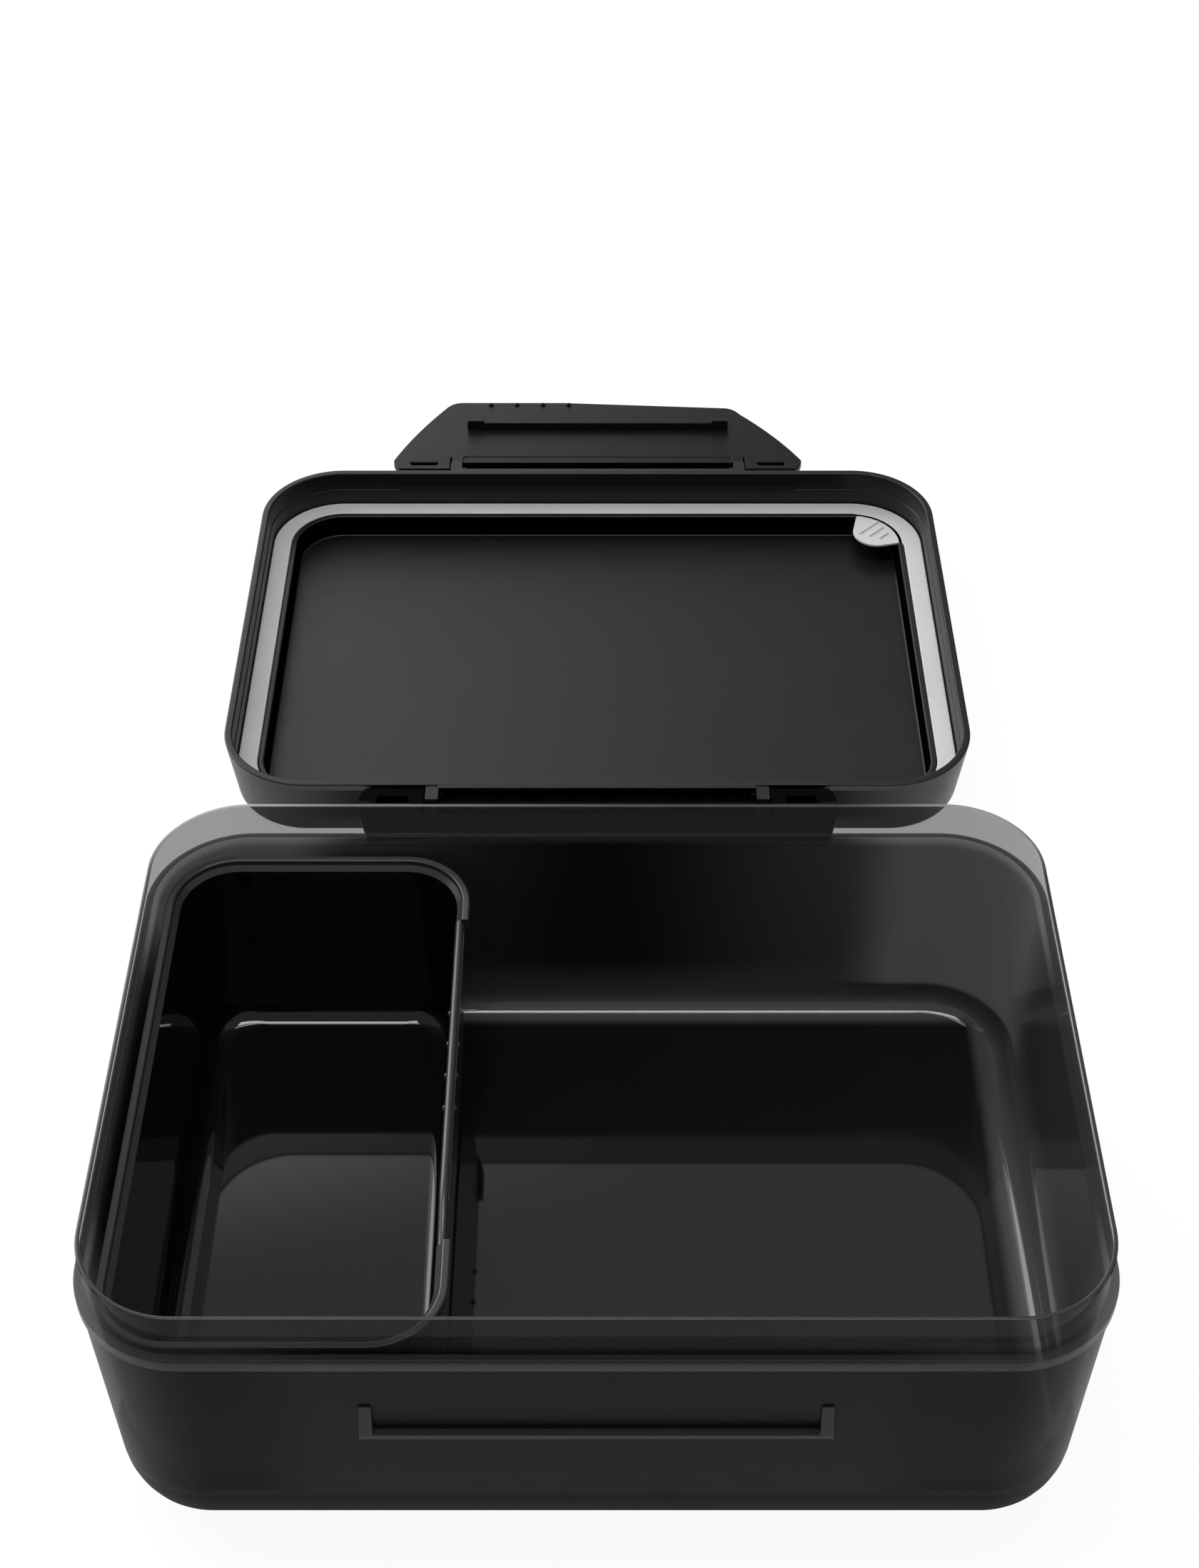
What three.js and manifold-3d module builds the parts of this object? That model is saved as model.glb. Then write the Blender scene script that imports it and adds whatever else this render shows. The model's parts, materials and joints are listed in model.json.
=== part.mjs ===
// A lunch box: a deep tub with a tray inside, and a lid with a seal and two hinged clips.
// Millimetres, +Z up. The tub stands on z = 0 with its centre at the origin. The lid lies
// upside down behind it, in +Y, with both clips spread, as it is put down while the box is in use.
import * as THREE from "three";
import { mergeVertices } from "three/addons/utils/BufferGeometryUtils.js";
import Module from "manifold-3d";

const wasm = await Module();
wasm.setup();

// ---- Sizes ----

const cornerSteps = 10; // facets in a quarter turn of a plan corner
const filletSteps = 10; // facets in a large quarter fillet
const smallFilletSteps = 5;
const seatGap = 0.3; // left between two pieces that touch

// Tub
// Outside of the rim: half length, half width, corner radius, and the least corner radius of the
// outlines that are drawn inside it.
const rim = { x: 111, y: 78.5, r: 23, least: 3 };
const tubHeight = 89;
const rimHeight = 12; // the part of the rim that stands above the ledge
const rimWall = 1.2;
const ledgeWidth = 2; // on which the lid's skirt comes down
const collarHeight = 3.5;
const collarStep = 0.6; // how far the collar stands out from the wall below it
const draft = 0.043; // lean of the tub's and tray's walls, in mm for each mm of height
const tubFillet = 24.5; // outside, between wall and underside
const tubFloor = 17.5; // the base is closed and thick, so that the food stands high
const tubInnerFillet = 4.5; // between wall and floor

// Catch on the tub's front and rear: a bar with its ends turned up
const catchHalf = 51.5;
const catchBottom = 48.2;
const catchBar = 1.7;
const catchReach = 1.9; // out of the wall
const catchEndWidth = 3.2;
const catchEndTop = 59.3;
const catchEndTaper = 0.5;
const catchEndReach = 0.4; // out of the wall at an end's top, where it has sloped away

// Lid
const lidHeight = 21.5;
const skirtWall = 2.4;
const skirtGap = 0.6; // between rim and skirt, at the skirt's mouth
const skirtInnerGap = 0.35; // the same, beyond a small step inside the skirt
const skirtStepDepth = 6.7;
const lidTaper = 0.13;
const lidFillet = 2.5;
const lidPanel = 2;
const ledgeInner = 1.7; // width of the ridge that holds the seal from inside
const recessFillet = 1.8;
const recessDraft = 0.08;

// Seal
const sealWidth = 6;
const sealThickness = 2;
const sealChamfer = 0.3;
const tabRadius = 7.8;
const tabIn = { x: 18, y: 19.8 }; // from the skirt's outside to the pull tab's centre
const tabRoot = { x: 23, y: 25 }; // from the same to where the tab's sides leave the band
const tabThickness = 0.9;
const tabPocket = { x: 26.8, y: 27.4, depth: 2.5 }; // from the skirt's outside; under the tab
const tabRibs = [10.4, 7.6, 4.8]; // lengths
const tabRibPitch = 3.3;
const tabRibSection = { width: 1.2, height: 0.5 };

// Hinge of a clip
const rodRadius = 1.3;
const rodGap = 0.3; // between rod and ear
const earWall = 2;
const earWidth = 3.8;
const earAt = 49.2;
const earMouth = 2.3; // the rod snaps in through this slot
const hingeOut = 2.7; // from the skirt's outside to the hinge line
const hingeDrop = 2.4; // from the skirt's edge to the hinge line
const droop = THREE.MathUtils.degToRad(10.5); // of the spread clips

// Clip, measured from the hinge line: x along it, s away from it
const plate = 2;
const plateInside = 1.8; // level of the plate's inner face above the hinge line
const hingeHalf = 69;
const clipWide = 71.4;
const wideAt = 5.4;
const nubSide = { edge: 49.7, depth: 56.7 };
const plainSide = { edge: 45.8, depth: 51.8 };
const slantStart = -12.7; // where the free edge leaves the straight towards the plain side
// A free corner: how far it reaches past the straight edge and back along the side.
const clipCorner = { out: 3.8, along: 6, back: 5.6 };
const sideBelly = { across: 0.37, along: 0.46 }; // shares at which the bowed side is pulled out
const windowDepth = 3.8;
const wingWindow = { from: 55.5, to: 65.7, near: 1.3, far: 4.6, lean: 0.7 };
const slit = { width: 0.5, end: 8.7 };
const padStep = 0.3;
const lipHalf = 46.8;
const lipTop = 1.8;
const lipFoot = 4.4;
const lipBlock = 5.9; // the square block at each end of the lip
const lipStep = 0.8; // by which a block is taller
const lipGap = 0.4; // from block to tub wall
const nubs = { count: 4, first: -39.2, pitch: 9.5, inset: 2.4, radius: 1.05, height: 0.9 };

// Tray
const trayGap = { x: 1.3, y: 2.3 }; // to the tub's inner wall, at the rim
const trayRight = -32; // outer face of the divider wall, at the rim
const trayTop = 74;
const trayWall = 2;
const trayFloor = 1.6;
const trayInnerFillet = 5; // between wall and floor
const trayCorner = { r: 17, least: 11 };
const trayRim = { height: 3.2, out: 1.2, inside: 0.6 }; // it stands out from the wall below it
const divider = { from: -46.5, to: 52, bead: 1.1, below: 1.4 }; // low part of the wall beside food
const beadDip = { from: -46.5, to: -28, depth: 3.4 };
const beadSides = 14;
const dots = { count: 4, first: -5.3, pitch: 9.9, below: 4.7, radius: 0.95, sunk: 0.1 };

// Where the lid is put down
const lidAway = 79.3; // between the tub's collar and the lid's skirt

// ---- Sizes that follow ----

const ledgeTop = tubHeight - rimHeight;
const collarBottom = ledgeTop - collarHeight;
const wallTop = ledgeWidth - collarStep; // wall below the collar, outside the rim's outline
const wallAt = (z) => wallTop - draft * (collarBottom - z);
const tubWall = wallTop + rimWall;
const trayFillet = trayInnerFillet + trayWall; // outside
const collar = grow(rim, ledgeWidth);
const skirt = grow(rim, skirtGap + skirtWall);
const lidY = collar.y + lidAway + skirt.y;
const closedLidTop = ledgeTop + seatGap + lidHeight;
const sealFace = closedLidTop - tubHeight - seatGap; // height of the seal's face in the lid
const sealOuter = skirtInnerGap - seatGap; // offsets from the rim's outline
const sealInner = sealOuter - sealWidth;
const grooveInner = sealInner - seatGap;
const grooveFloor = sealFace - sealThickness - seatGap;
const recessOuter = grooveInner - ledgeInner;
const hinge = { y: skirt.y + hingeOut, z: lidHeight - hingeDrop };
const closedHingeZ = closedLidTop - hinge.z;
const catchFace = closedHingeZ - catchBottom + seatGap; // along the clip
const blockHeight = hinge.y - plateInside - (rim.y + wallAt(catchBottom - lipFoot) + lipGap);
const earRadius = rodRadius + rodGap + earWall;

// ---- Geometry helpers ----

function grow(outline, by) {
  const r = Math.max(outline.r + by, outline.least);
  return { x: outline.x + by, y: outline.y + by, r, least: outline.least };
}

// A closed three.js geometry as a manifold-3d solid.
function solid(geometry) {
  const bare = new THREE.BufferGeometry();
  bare.setAttribute("position", geometry.getAttribute("position"));
  if (geometry.index) bare.setIndex(geometry.index);
  const merged = mergeVertices(bare, 1e-4);
  const corners = merged.index.array;
  const triVerts = [];
  for (let i = 0; i < corners.length; i += 3) {
    const [a, b, c] = corners.slice(i, i + 3);
    if (a !== b && b !== c && c !== a) triVerts.push(a, b, c);
  }
  return new wasm.Manifold(
    new wasm.Mesh({
      numProp: 3,
      vertProperties: merged.attributes.position.array,
      triVerts: new Uint32Array(triVerts),
    }),
  );
}

function geometryOf(made) {
  const mesh = made.getMesh();
  const geometry = new THREE.BufferGeometry();
  geometry.setAttribute("position", new THREE.BufferAttribute(mesh.vertProperties, 3));
  geometry.setIndex(new THREE.BufferAttribute(mesh.triVerts, 1));
  const flat = geometry.toNonIndexed();
  flat.computeVertexNormals();
  return flat;
}

const joined = (first, ...others) => others.reduce((sum, one) => sum.add(one), first);
const without = (first, ...others) => others.reduce((rest, one) => rest.subtract(one), first);

// A skin over rings of equally many points, with flat ends.
function skin(rings) {
  const count = rings[0].length;
  const last = (rings.length - 1) * count;
  const index = [];
  for (let base = 0; base < last; base += count) {
    for (let i = 0; i < count; i++) {
      const next = (i + 1) % count;
      index.push(base + i, base + next, base + count + next);
      index.push(base + i, base + count + next, base + count + i);
    }
  }
  for (let i = 1; i < count - 1; i++) {
    index.push(0, i + 1, i);
    index.push(last, last + i, last + i + 1);
  }
  const geometry = new THREE.BufferGeometry().setFromPoints(rings.flat());
  geometry.setIndex(index);
  return solid(geometry);
}

// A rounded rectangle's points at height z, anticlockwise.
function ring(outline, z, centreX = 0) {
  const points = [];
  for (const [signX, signY, turn] of [[1, 1, 0], [-1, 1, 1], [-1, -1, 2], [1, -1, 3]]) {
    for (let step = 0; step <= cornerSteps; step++) {
      const angle = (turn + step / cornerSteps) * (Math.PI / 2);
      const x = signX * (outline.x - outline.r) + outline.r * Math.cos(angle);
      const y = signY * (outline.y - outline.r) + outline.r * Math.sin(angle);
      points.push(new THREE.Vector3(centreX + x, y, z));
    }
  }
  return points;
}

// A solid around an outline that follows a profile of [offset, z] pairs from bottom to top.
const lofted = (outline, profile, centreX = 0) =>
  skin(profile.map(([offset, z]) => ring(grow(outline, offset), z, centreX)));

// The round part of a profile between a floor and a wall that leans out by `lean` for each mm.
// `foot` is the wall's offset where it would meet the floor.
function floorFillet(foot, lean, radius, floor, steps) {
  const centre = foot + lean * radius - radius * Math.hypot(1, lean);
  const turn = Math.PI / 2 - Math.atan(lean);
  return Array.from({ length: steps + 1 }, (_, step) => {
    const angle = -Math.PI / 2 + (turn * step) / steps;
    return [centre + radius * Math.cos(angle), floor + radius + radius * Math.sin(angle)];
  });
}

function box([x0, x1], [y0, y1], [z0, z1]) {
  const geometry = new THREE.BoxGeometry(x1 - x0, y1 - y0, z1 - z0);
  geometry.translate((x0 + x1) / 2, (y0 + y1) / 2, (z0 + z1) / 2);
  return solid(geometry);
}

// A shape pushed along X: its own axes become Y and Z.
function alongX(shape, from, to) {
  const geometry = new THREE.ExtrudeGeometry(shape, {
    depth: to - from,
    bevelEnabled: false,
    curveSegments: 16,
  });
  const basis = new THREE.Matrix4().makeBasis(
    new THREE.Vector3(0, 1, 0),
    new THREE.Vector3(0, 0, 1),
    new THREE.Vector3(1, 0, 0),
  );
  geometry.applyMatrix4(basis);
  geometry.translate(from, 0, 0);
  return solid(geometry);
}

// A shape pushed up along Z.
function alongZ(shape, from, to) {
  const geometry = new THREE.ExtrudeGeometry(shape, {
    depth: to - from,
    bevelEnabled: false,
    curveSegments: 12,
  });
  geometry.translate(0, 0, from);
  return solid(geometry);
}

const polygon = (...points) => new THREE.Shape(points.map(([x, y]) => new THREE.Vector2(x, y)));

// A copy turned about the Z axis by half a turn.
const turned = (made) => solid(geometryOf(made).rotateZ(Math.PI));

// ---- Tub ----

// The catch on the front wall, as seen from the front.
function catchRail() {
  const endTop = catchHalf - catchEndTaper;
  const endInside = catchHalf - catchEndWidth;
  const barTop = catchBottom + catchBar;
  const shape = polygon(
    [-catchHalf, catchBottom],
    [catchHalf, catchBottom],
    [endTop, catchEndTop],
    [endInside, catchEndTop],
    [endInside, barTop],
    [-endInside, barTop],
    [-endInside, catchEndTop],
    [-endTop, catchEndTop],
  );
  const face = rim.y + wallAt(catchBottom) + catchReach;
  const root = rim.y + wallAt(catchBottom) - tubWall / 2;
  const geometry = new THREE.ExtrudeGeometry(shape, { depth: face - root, bevelEnabled: false });
  geometry.rotateX(Math.PI / 2);
  geometry.translate(0, -root, 0);
  const side = polygon(
    [-root, catchBottom],
    [-root, catchEndTop],
    [-(rim.y + wallAt(catchEndTop) + catchEndReach), catchEndTop],
    [-face, barTop],
    [-face, catchBottom],
  );
  return solid(geometry).intersect(alongX(side, -catchHalf, catchHalf));
}

function makeTub() {
  const soft = 0.4; // broken edges of rim and collar
  const outside = lofted(rim, [
    ...floorFillet(wallAt(0), draft, tubFillet, 0, filletSteps),
    [wallTop, collarBottom],
    [ledgeWidth, collarBottom],
    [ledgeWidth, ledgeTop - soft],
    [ledgeWidth - soft, ledgeTop],
    [0, ledgeTop],
    [0, tubHeight - soft],
    [-soft, tubHeight],
  ]);
  const foot = wallAt(tubFloor) - tubWall;
  const inside = lofted(rim, [
    ...floorFillet(foot, draft, tubInnerFillet, tubFloor, smallFilletSteps),
    [-rimWall, collarBottom],
    [-rimWall, tubHeight + 1],
  ]);
  const rail = catchRail();
  return without(joined(outside, rail, turned(rail)), inside);
}

// ---- Lid, upside down: its outer face is on z = 0 and its skirt stands up ----

// A C-shaped ear for a clip's rod, on the skirt's +Y side.
function ear(x) {
  const shape = new THREE.Shape();
  shape.absarc(hinge.y, hinge.z, earRadius, 0, 2 * Math.PI);
  const bore = new THREE.Path();
  bore.absarc(hinge.y, hinge.z, rodRadius + rodGap, 0, 2 * Math.PI);
  shape.holes.push(bore);
  const span = [x - earWidth / 2, x + earWidth / 2];
  const mouth = box(
    [span[0] - 1, span[1] + 1],
    [hinge.y - earMouth / 2, hinge.y + earMouth / 2],
    [hinge.z - earRadius - 1, hinge.z],
  );
  return alongX(shape, ...span).subtract(mouth);
}

// A pocket for a fingertip under the pull tab: the groove goes deeper in one corner of the lid,
// and the ridge beside it is cut away there.
function tabPocketCut() {
  const inGroove = lofted(rim, [
    [skirtInnerGap, grooveFloor - tabPocket.depth],
    [skirtInnerGap, lidHeight],
  ]);
  const across = [skirt.x - tabPocket.x, skirt.x];
  return inGroove.intersect(box(across, [skirt.y - tabPocket.y, skirt.y], [0, lidHeight]));
}

function makeLid() {
  const soft = 0.5;
  const outside = lofted(skirt, [
    ...floorFillet(-lidTaper * lidHeight, lidTaper, lidFillet, 0, smallFilletSteps),
    [-lidTaper * soft, lidHeight - soft],
    [-soft, lidHeight],
  ]);
  const stepZ = lidHeight - skirtStepDepth;
  const skirtInside = lofted(rim, [
    [skirtInnerGap, sealFace],
    [skirtInnerGap, stepZ],
    [skirtGap, stepZ + 0.2],
    [skirtGap, lidHeight - soft],
    [skirtGap + soft, lidHeight],
    [skirtGap + soft, lidHeight + 1],
  ]);
  const groove = lofted(rim, [[skirtInnerGap, grooveFloor], [skirtInnerGap, sealFace + 1]])
    .subtract(lofted(rim, [[grooveInner, 0], [grooveInner, lidHeight]]));
  const recessFoot = recessOuter - recessDraft * (sealFace - lidPanel);
  const recess = lofted(rim, [
    ...floorFillet(recessFoot, recessDraft, recessFillet, lidPanel, smallFilletSteps),
    [recessOuter, sealFace],
    [recessOuter, sealFace + 1],
  ]);
  const pair = joined(ear(-earAt), ear(earAt));
  const body = joined(outside, pair, turned(pair));
  return without(body, skirtInside, groove, recess, tabPocketCut());
}

// ---- Seal, in its groove in the lid ----

const tabCentre = new THREE.Vector2(skirt.x - tabIn.x, skirt.y - tabIn.y);

// The angle on the tab's round end at which a straight side from `root` meets it.
// `turn` is 1 or -1 for the two tangents.
function tangentAngle(root, turn) {
  const away = root.clone().sub(tabCentre);
  return away.angle() + turn * Math.acos(tabRadius / away.length());
}

// The pull tab: a round end with a neck that spreads into the band at the corner.
function pullTab() {
  const corner = { x: skirt.x - skirt.r, y: skirt.y - skirt.r };
  const middle = rim.r + (sealOuter + sealInner) / 2;
  const far = Math.acos((skirt.x - tabRoot.x - corner.x) / middle);
  const near = Math.asin((skirt.y - tabRoot.y - corner.y) / middle);
  const onBand = (angle) =>
    new THREE.Vector2(corner.x + middle * Math.cos(angle), corner.y + middle * Math.sin(angle));
  const shape = new THREE.Shape();
  shape.absarc(corner.x, corner.y, middle, near, far);
  const start = tangentAngle(onBand(far), 1);
  const end = tangentAngle(onBand(near), -1) + 2 * Math.PI;
  shape.absarc(tabCentre.x, tabCentre.y, tabRadius, start, end);
  return alongZ(shape, sealFace - tabThickness, sealFace);
}

// Raised ribs across the pull tab, so that a fingertip holds it.
function tabRib(length, place) {
  const { width, height } = tabRibSection;
  const geometry = new THREE.BoxGeometry(length, width, 2 * height);
  geometry.translate(0, place, 0);
  geometry.rotateZ(-Math.PI / 4);
  geometry.translate(tabCentre.x, tabCentre.y, sealFace);
  return solid(geometry);
}

function makeSeal() {
  const back = sealFace - sealThickness;
  const band = lofted(rim, [
    [sealOuter, back],
    [sealOuter, sealFace - sealChamfer],
    [sealOuter - sealChamfer, sealFace],
  ]);
  const opening = lofted(rim, [
    [sealInner, back - 1],
    [sealInner, sealFace - sealChamfer],
    [sealInner + sealChamfer, sealFace],
    [sealInner + sealChamfer, sealFace + 1],
  ]);
  const middle = (tabRibs.length - 1) / 2;
  const ribs = tabRibs.map((length, i) => tabRib(length, (middle - i) * tabRibPitch));
  return joined(band.subtract(opening), pullTab(), ...ribs);
}

// ---- Clip, flat, with its hinge line on X and its free edge in +Y ----

function clipOutline() {
  const shape = new THREE.Shape();
  const side = (sign, { edge, depth }) => {
    const { out, along, back } = clipCorner;
    const taper = clipWide - edge - along;
    const corner = new THREE.Vector2(sign * (edge + out), depth);
    const start = new THREE.Vector2(sign * (edge + along), depth - back);
    const belly = new THREE.Vector2(
      sign * (clipWide - taper * sideBelly.across),
      (wideAt + depth) * sideBelly.along,
    );
    return { corner, start, belly, wide: sign * clipWide, end: sign * edge, depth };
  };
  const left = side(-1, nubSide);
  const right = side(1, plainSide);
  shape.moveTo(-hingeHalf, 0);
  shape.lineTo(hingeHalf, 0);
  shape.quadraticCurveTo(right.wide, wideAt / 5, right.wide, wideAt);
  shape.quadraticCurveTo(right.belly.x, right.belly.y, right.start.x, right.start.y);
  shape.quadraticCurveTo(right.corner.x, right.corner.y, right.end, right.depth);
  shape.lineTo(slantStart, left.depth);
  shape.lineTo(left.end, left.depth);
  shape.quadraticCurveTo(left.corner.x, left.corner.y, left.start.x, left.start.y);
  shape.quadraticCurveTo(left.belly.x, left.belly.y, left.wide, wideAt);
  shape.quadraticCurveTo(left.wide, wideAt / 5, -hingeHalf, 0);
  return shape;
}

// The lip that hooks under the tub's catch, with a taller block at each end.
function clipLip() {
  const hook = (height) => {
    const foot = plateInside - plate / 4;
    const top = plateInside + height;
    const back = catchFace + lipFoot;
    return polygon([catchFace, foot], [back, foot], [catchFace + lipTop, top], [catchFace, top]);
  };
  return joined(
    alongX(hook(blockHeight - lipStep), -lipHalf, lipHalf),
    alongX(hook(blockHeight), -lipHalf, lipBlock - lipHalf),
    alongX(hook(blockHeight), lipHalf - lipBlock, lipHalf),
  );
}

function gripNub(x) {
  const { radius, height, inset } = nubs;
  const geometry = new THREE.SphereGeometry(radius, 12, 8);
  geometry.translate(x, nubSide.depth - inset, plateInside - radius + height);
  return solid(geometry);
}

function makeClip() {
  const across = [-plate, 2 * plate];
  const earInside = earAt - earWidth / 2 - rodGap;
  const earOutside = earAt + earWidth / 2 + rodGap;
  const window = box([-earInside, earInside], [-plate, windowDepth], across);
  const openings = [window];
  for (const sign of [-1, 1]) {
    const span = (from, to) => (sign > 0 ? [from, to] : [-to, -from]);
    const { from, to, near, far, lean } = wingWindow;
    const wing = polygon(
      [sign * (from + lean), near],
      [sign * (to - lean), near],
      [sign * to, far],
      [sign * from, far],
    );
    openings.push(
      box(span(earInside - 1, earOutside), [-plate, earRadius + rodGap], across),
      box(span(earOutside - slit.width, earOutside), [0, slit.end], across),
      alongZ(wing, ...across),
    );
  }
  const pad = box([-earInside, earInside], [0, slit.end], [plateInside - padStep, 2 * plate]);
  const sheet = alongZ(clipOutline(), plateInside - plate, plateInside);
  const rod = new THREE.CylinderGeometry(rodRadius, rodRadius, 2 * hingeHalf, 16);
  rod.rotateZ(Math.PI / 2);
  const grips = Array.from({ length: nubs.count }, (_, i) => gripNub(nubs.first + i * nubs.pitch));
  return joined(without(sheet, ...openings, pad), solid(rod), clipLip(), ...grips);
}

// ---- Tray ----

const trayLeft = -(rim.x - rimWall - trayGap.x);
const trayCentre = (trayLeft + trayRight) / 2;
const tray = {
  x: (trayRight - trayLeft) / 2,
  y: rim.y - rimWall - trayGap.y,
  ...trayCorner,
};

// The bead's centre line along the divider: level, then dipping towards the front.
function beadHeight(y) {
  const level = trayTop - divider.below - divider.bead;
  const share = THREE.MathUtils.smoothstep(y, beadDip.from, beadDip.to);
  return level - beadDip.depth * (1 - share);
}

function beadStations() {
  const dip = Array.from({ length: 9 }, (_, i) =>
    THREE.MathUtils.lerp(beadDip.from, beadDip.to, i / 8),
  );
  return [divider.from - 1, ...dip, divider.to + 1];
}

function dividerBead(x) {
  const rings = beadStations().map((y) =>
    Array.from({ length: beadSides }, (_, i) => {
      const angle = (-2 * Math.PI * i) / beadSides;
      const across = divider.bead * Math.cos(angle);
      const up = divider.bead * Math.sin(angle);
      return new THREE.Vector3(x + across, y, beadHeight(y) + up);
    }),
  );
  return skin(rings);
}

// What is cut out of the divider above the bead, with the rim that stands out beside it.
function dividerCut() {
  const inside = beadStations().filter((y) => y > divider.from && y < divider.to);
  const stations = [divider.from, ...inside, divider.to];
  const shape = polygon(
    ...stations.map((y) => [y, beadHeight(y)]),
    [divider.to, trayTop + 1],
    [divider.from, trayTop + 1],
  );
  const face = trayRight - trayRim.out;
  const below = trayTop - trayRim.height - trayRim.out;
  return joined(
    alongX(shape, trayRight - 3 * trayWall, trayRight + trayWall),
    box([face, trayRight + trayWall], [divider.from, divider.to], [below, trayTop + 1]),
  );
}

function makeTray() {
  const underside = tubFloor + seatGap;
  const floor = underside + trayFloor;
  const face = (z) => -trayRim.out - draft * (trayTop - z); // of the wall below the rim
  const rimFoot = trayTop - trayRim.height;
  const outside = lofted(
    tray,
    [
      ...floorFillet(face(underside), draft, trayFillet, underside, smallFilletSteps),
      [face(rimFoot), rimFoot],
      [0, rimFoot],
      [0, trayTop],
    ],
    trayCentre,
  );
  const insideStep = rimFoot + trayRim.inside;
  const inside = lofted(
    tray,
    [
      ...floorFillet(face(floor) - trayWall, draft, trayInnerFillet, floor, smallFilletSteps),
      [face(insideStep) - trayWall, insideStep],
      [-trayWall, insideStep + trayRim.out],
      [-trayWall, trayTop + 1],
    ],
    trayCentre,
  );
  const dotFace = trayRight + face(trayTop - dots.below);
  const pairs = Array.from({ length: dots.count }, (_, i) => dots.first + i * dots.pitch);
  const marks = pairs.flatMap((y) =>
    [dotFace - dots.sunk, dotFace - trayWall + dots.sunk].map((x) => {
      const geometry = new THREE.SphereGeometry(dots.radius, 12, 8);
      geometry.translate(x, y, trayTop - dots.below);
      return solid(geometry);
    }),
  );
  const bead = dividerBead(dotFace - trayWall / 2);
  return joined(without(outside, inside, dividerCut()), bead, ...marks);
}

// ---- Assembly ----

function piece(name, made, color, roughness) {
  const material = new THREE.MeshStandardMaterial({ color, roughness, metalness: 0 });
  const mesh = new THREE.Mesh(geometryOf(made), material);
  mesh.name = name;
  return mesh;
}

// A clip on the lid's +Y side, or turned half round onto its -Y side.
function hungClip(name, halfTurn) {
  const arm = new THREE.Group();
  arm.rotation.z = halfTurn ? Math.PI : 0;
  const clip = piece(name, makeClip(), 0x2b2b2d, 0.42);
  clip.position.set(0, hinge.y, hinge.z);
  clip.rotation.x = -droop;
  arm.add(clip);
  return arm;
}

const lid = new THREE.Group();
lid.position.y = lidY;
lid.add(
  piece("lid_shell", makeLid(), 0x1d1d1f, 0.38),
  piece("seal_ring", makeSeal(), 0x9a9b9c, 0.6),
  hungClip("front_clip", false),
  hungClip("rear_clip", true),
);

const lunchBox = new THREE.Group();
lunchBox.add(
  piece("tub", makeTub(), 0x242426, 0.35),
  piece("insert_tray", makeTray(), 0x0d0d0f, 0.12),
  lid,
);

export default lunchBox;
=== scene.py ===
"""A lunch box with its lid taken off: a deep tub with a tray in it, and behind it the lid,
upside down, with its seal and both clips spread. Sizes are in millimetres until a mesh is made.
"""

import json
import math

import bmesh
import bpy
from mathutils import Matrix, Vector
from mathutils.geometry import tessellate_polygon


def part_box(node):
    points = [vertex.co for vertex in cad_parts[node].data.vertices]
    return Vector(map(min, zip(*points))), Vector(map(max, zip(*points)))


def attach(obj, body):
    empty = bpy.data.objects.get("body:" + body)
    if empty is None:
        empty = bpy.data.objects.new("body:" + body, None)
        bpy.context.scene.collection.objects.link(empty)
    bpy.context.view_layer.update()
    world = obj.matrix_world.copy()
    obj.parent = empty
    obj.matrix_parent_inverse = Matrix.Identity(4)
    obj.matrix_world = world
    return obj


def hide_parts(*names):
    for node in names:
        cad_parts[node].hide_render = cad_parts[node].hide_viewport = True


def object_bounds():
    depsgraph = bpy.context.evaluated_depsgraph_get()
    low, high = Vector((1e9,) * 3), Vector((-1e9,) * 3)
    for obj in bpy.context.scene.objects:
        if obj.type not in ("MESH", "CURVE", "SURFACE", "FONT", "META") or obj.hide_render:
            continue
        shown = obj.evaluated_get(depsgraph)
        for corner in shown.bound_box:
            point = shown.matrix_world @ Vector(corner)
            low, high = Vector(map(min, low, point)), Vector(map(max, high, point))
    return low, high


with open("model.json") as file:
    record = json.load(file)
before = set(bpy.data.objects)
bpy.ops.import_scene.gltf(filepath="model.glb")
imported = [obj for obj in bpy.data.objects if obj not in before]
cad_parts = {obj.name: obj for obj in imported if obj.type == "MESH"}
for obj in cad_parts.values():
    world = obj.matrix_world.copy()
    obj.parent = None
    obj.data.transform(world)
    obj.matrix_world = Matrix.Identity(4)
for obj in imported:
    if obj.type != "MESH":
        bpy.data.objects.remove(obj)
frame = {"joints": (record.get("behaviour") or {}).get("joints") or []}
cad_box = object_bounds()

MM = 0.001
CORNER_STEPS = 24  # in a quarter turn of a plan corner
LARGE_RADIUS = 4  # a profile's corner takes more steps above this radius
LARGE_STEPS = 12
SMALL_STEPS = 5
EDGE_SHARE = 0.49  # of a profile's edge, the most that one rounded corner takes
EDGE_TURNS = (0, 0.52, 1.05, 1.571)  # angles at the points of a slab's rounded edge
END_LAND = 0.3  # the flat strip between the last rounded corner of a profile and its end
LEAST_SPREAD = 0.3  # keeps a sharp corner of an outline from shooting out when it is drawn in
BALL_LEVELS = 12
SAME_POINT = 1e-7  # points closer than this, in metres, become one
SHARP_FROM = math.radians(32)
BEVEL_FROM = math.radians(35)
LARGE_FACES_FIRST = 80  # above 50, large faces count for more in the smooth shading


# ---- Places, read from the frame ----


def node_box(node):
    low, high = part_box(node)
    return low / MM, high / MM


def joint_place(name):
    joint = next(joint for joint in frame["joints"] if joint["name"] == name)
    return Vector(joint["pos_m"]) / MM


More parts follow.
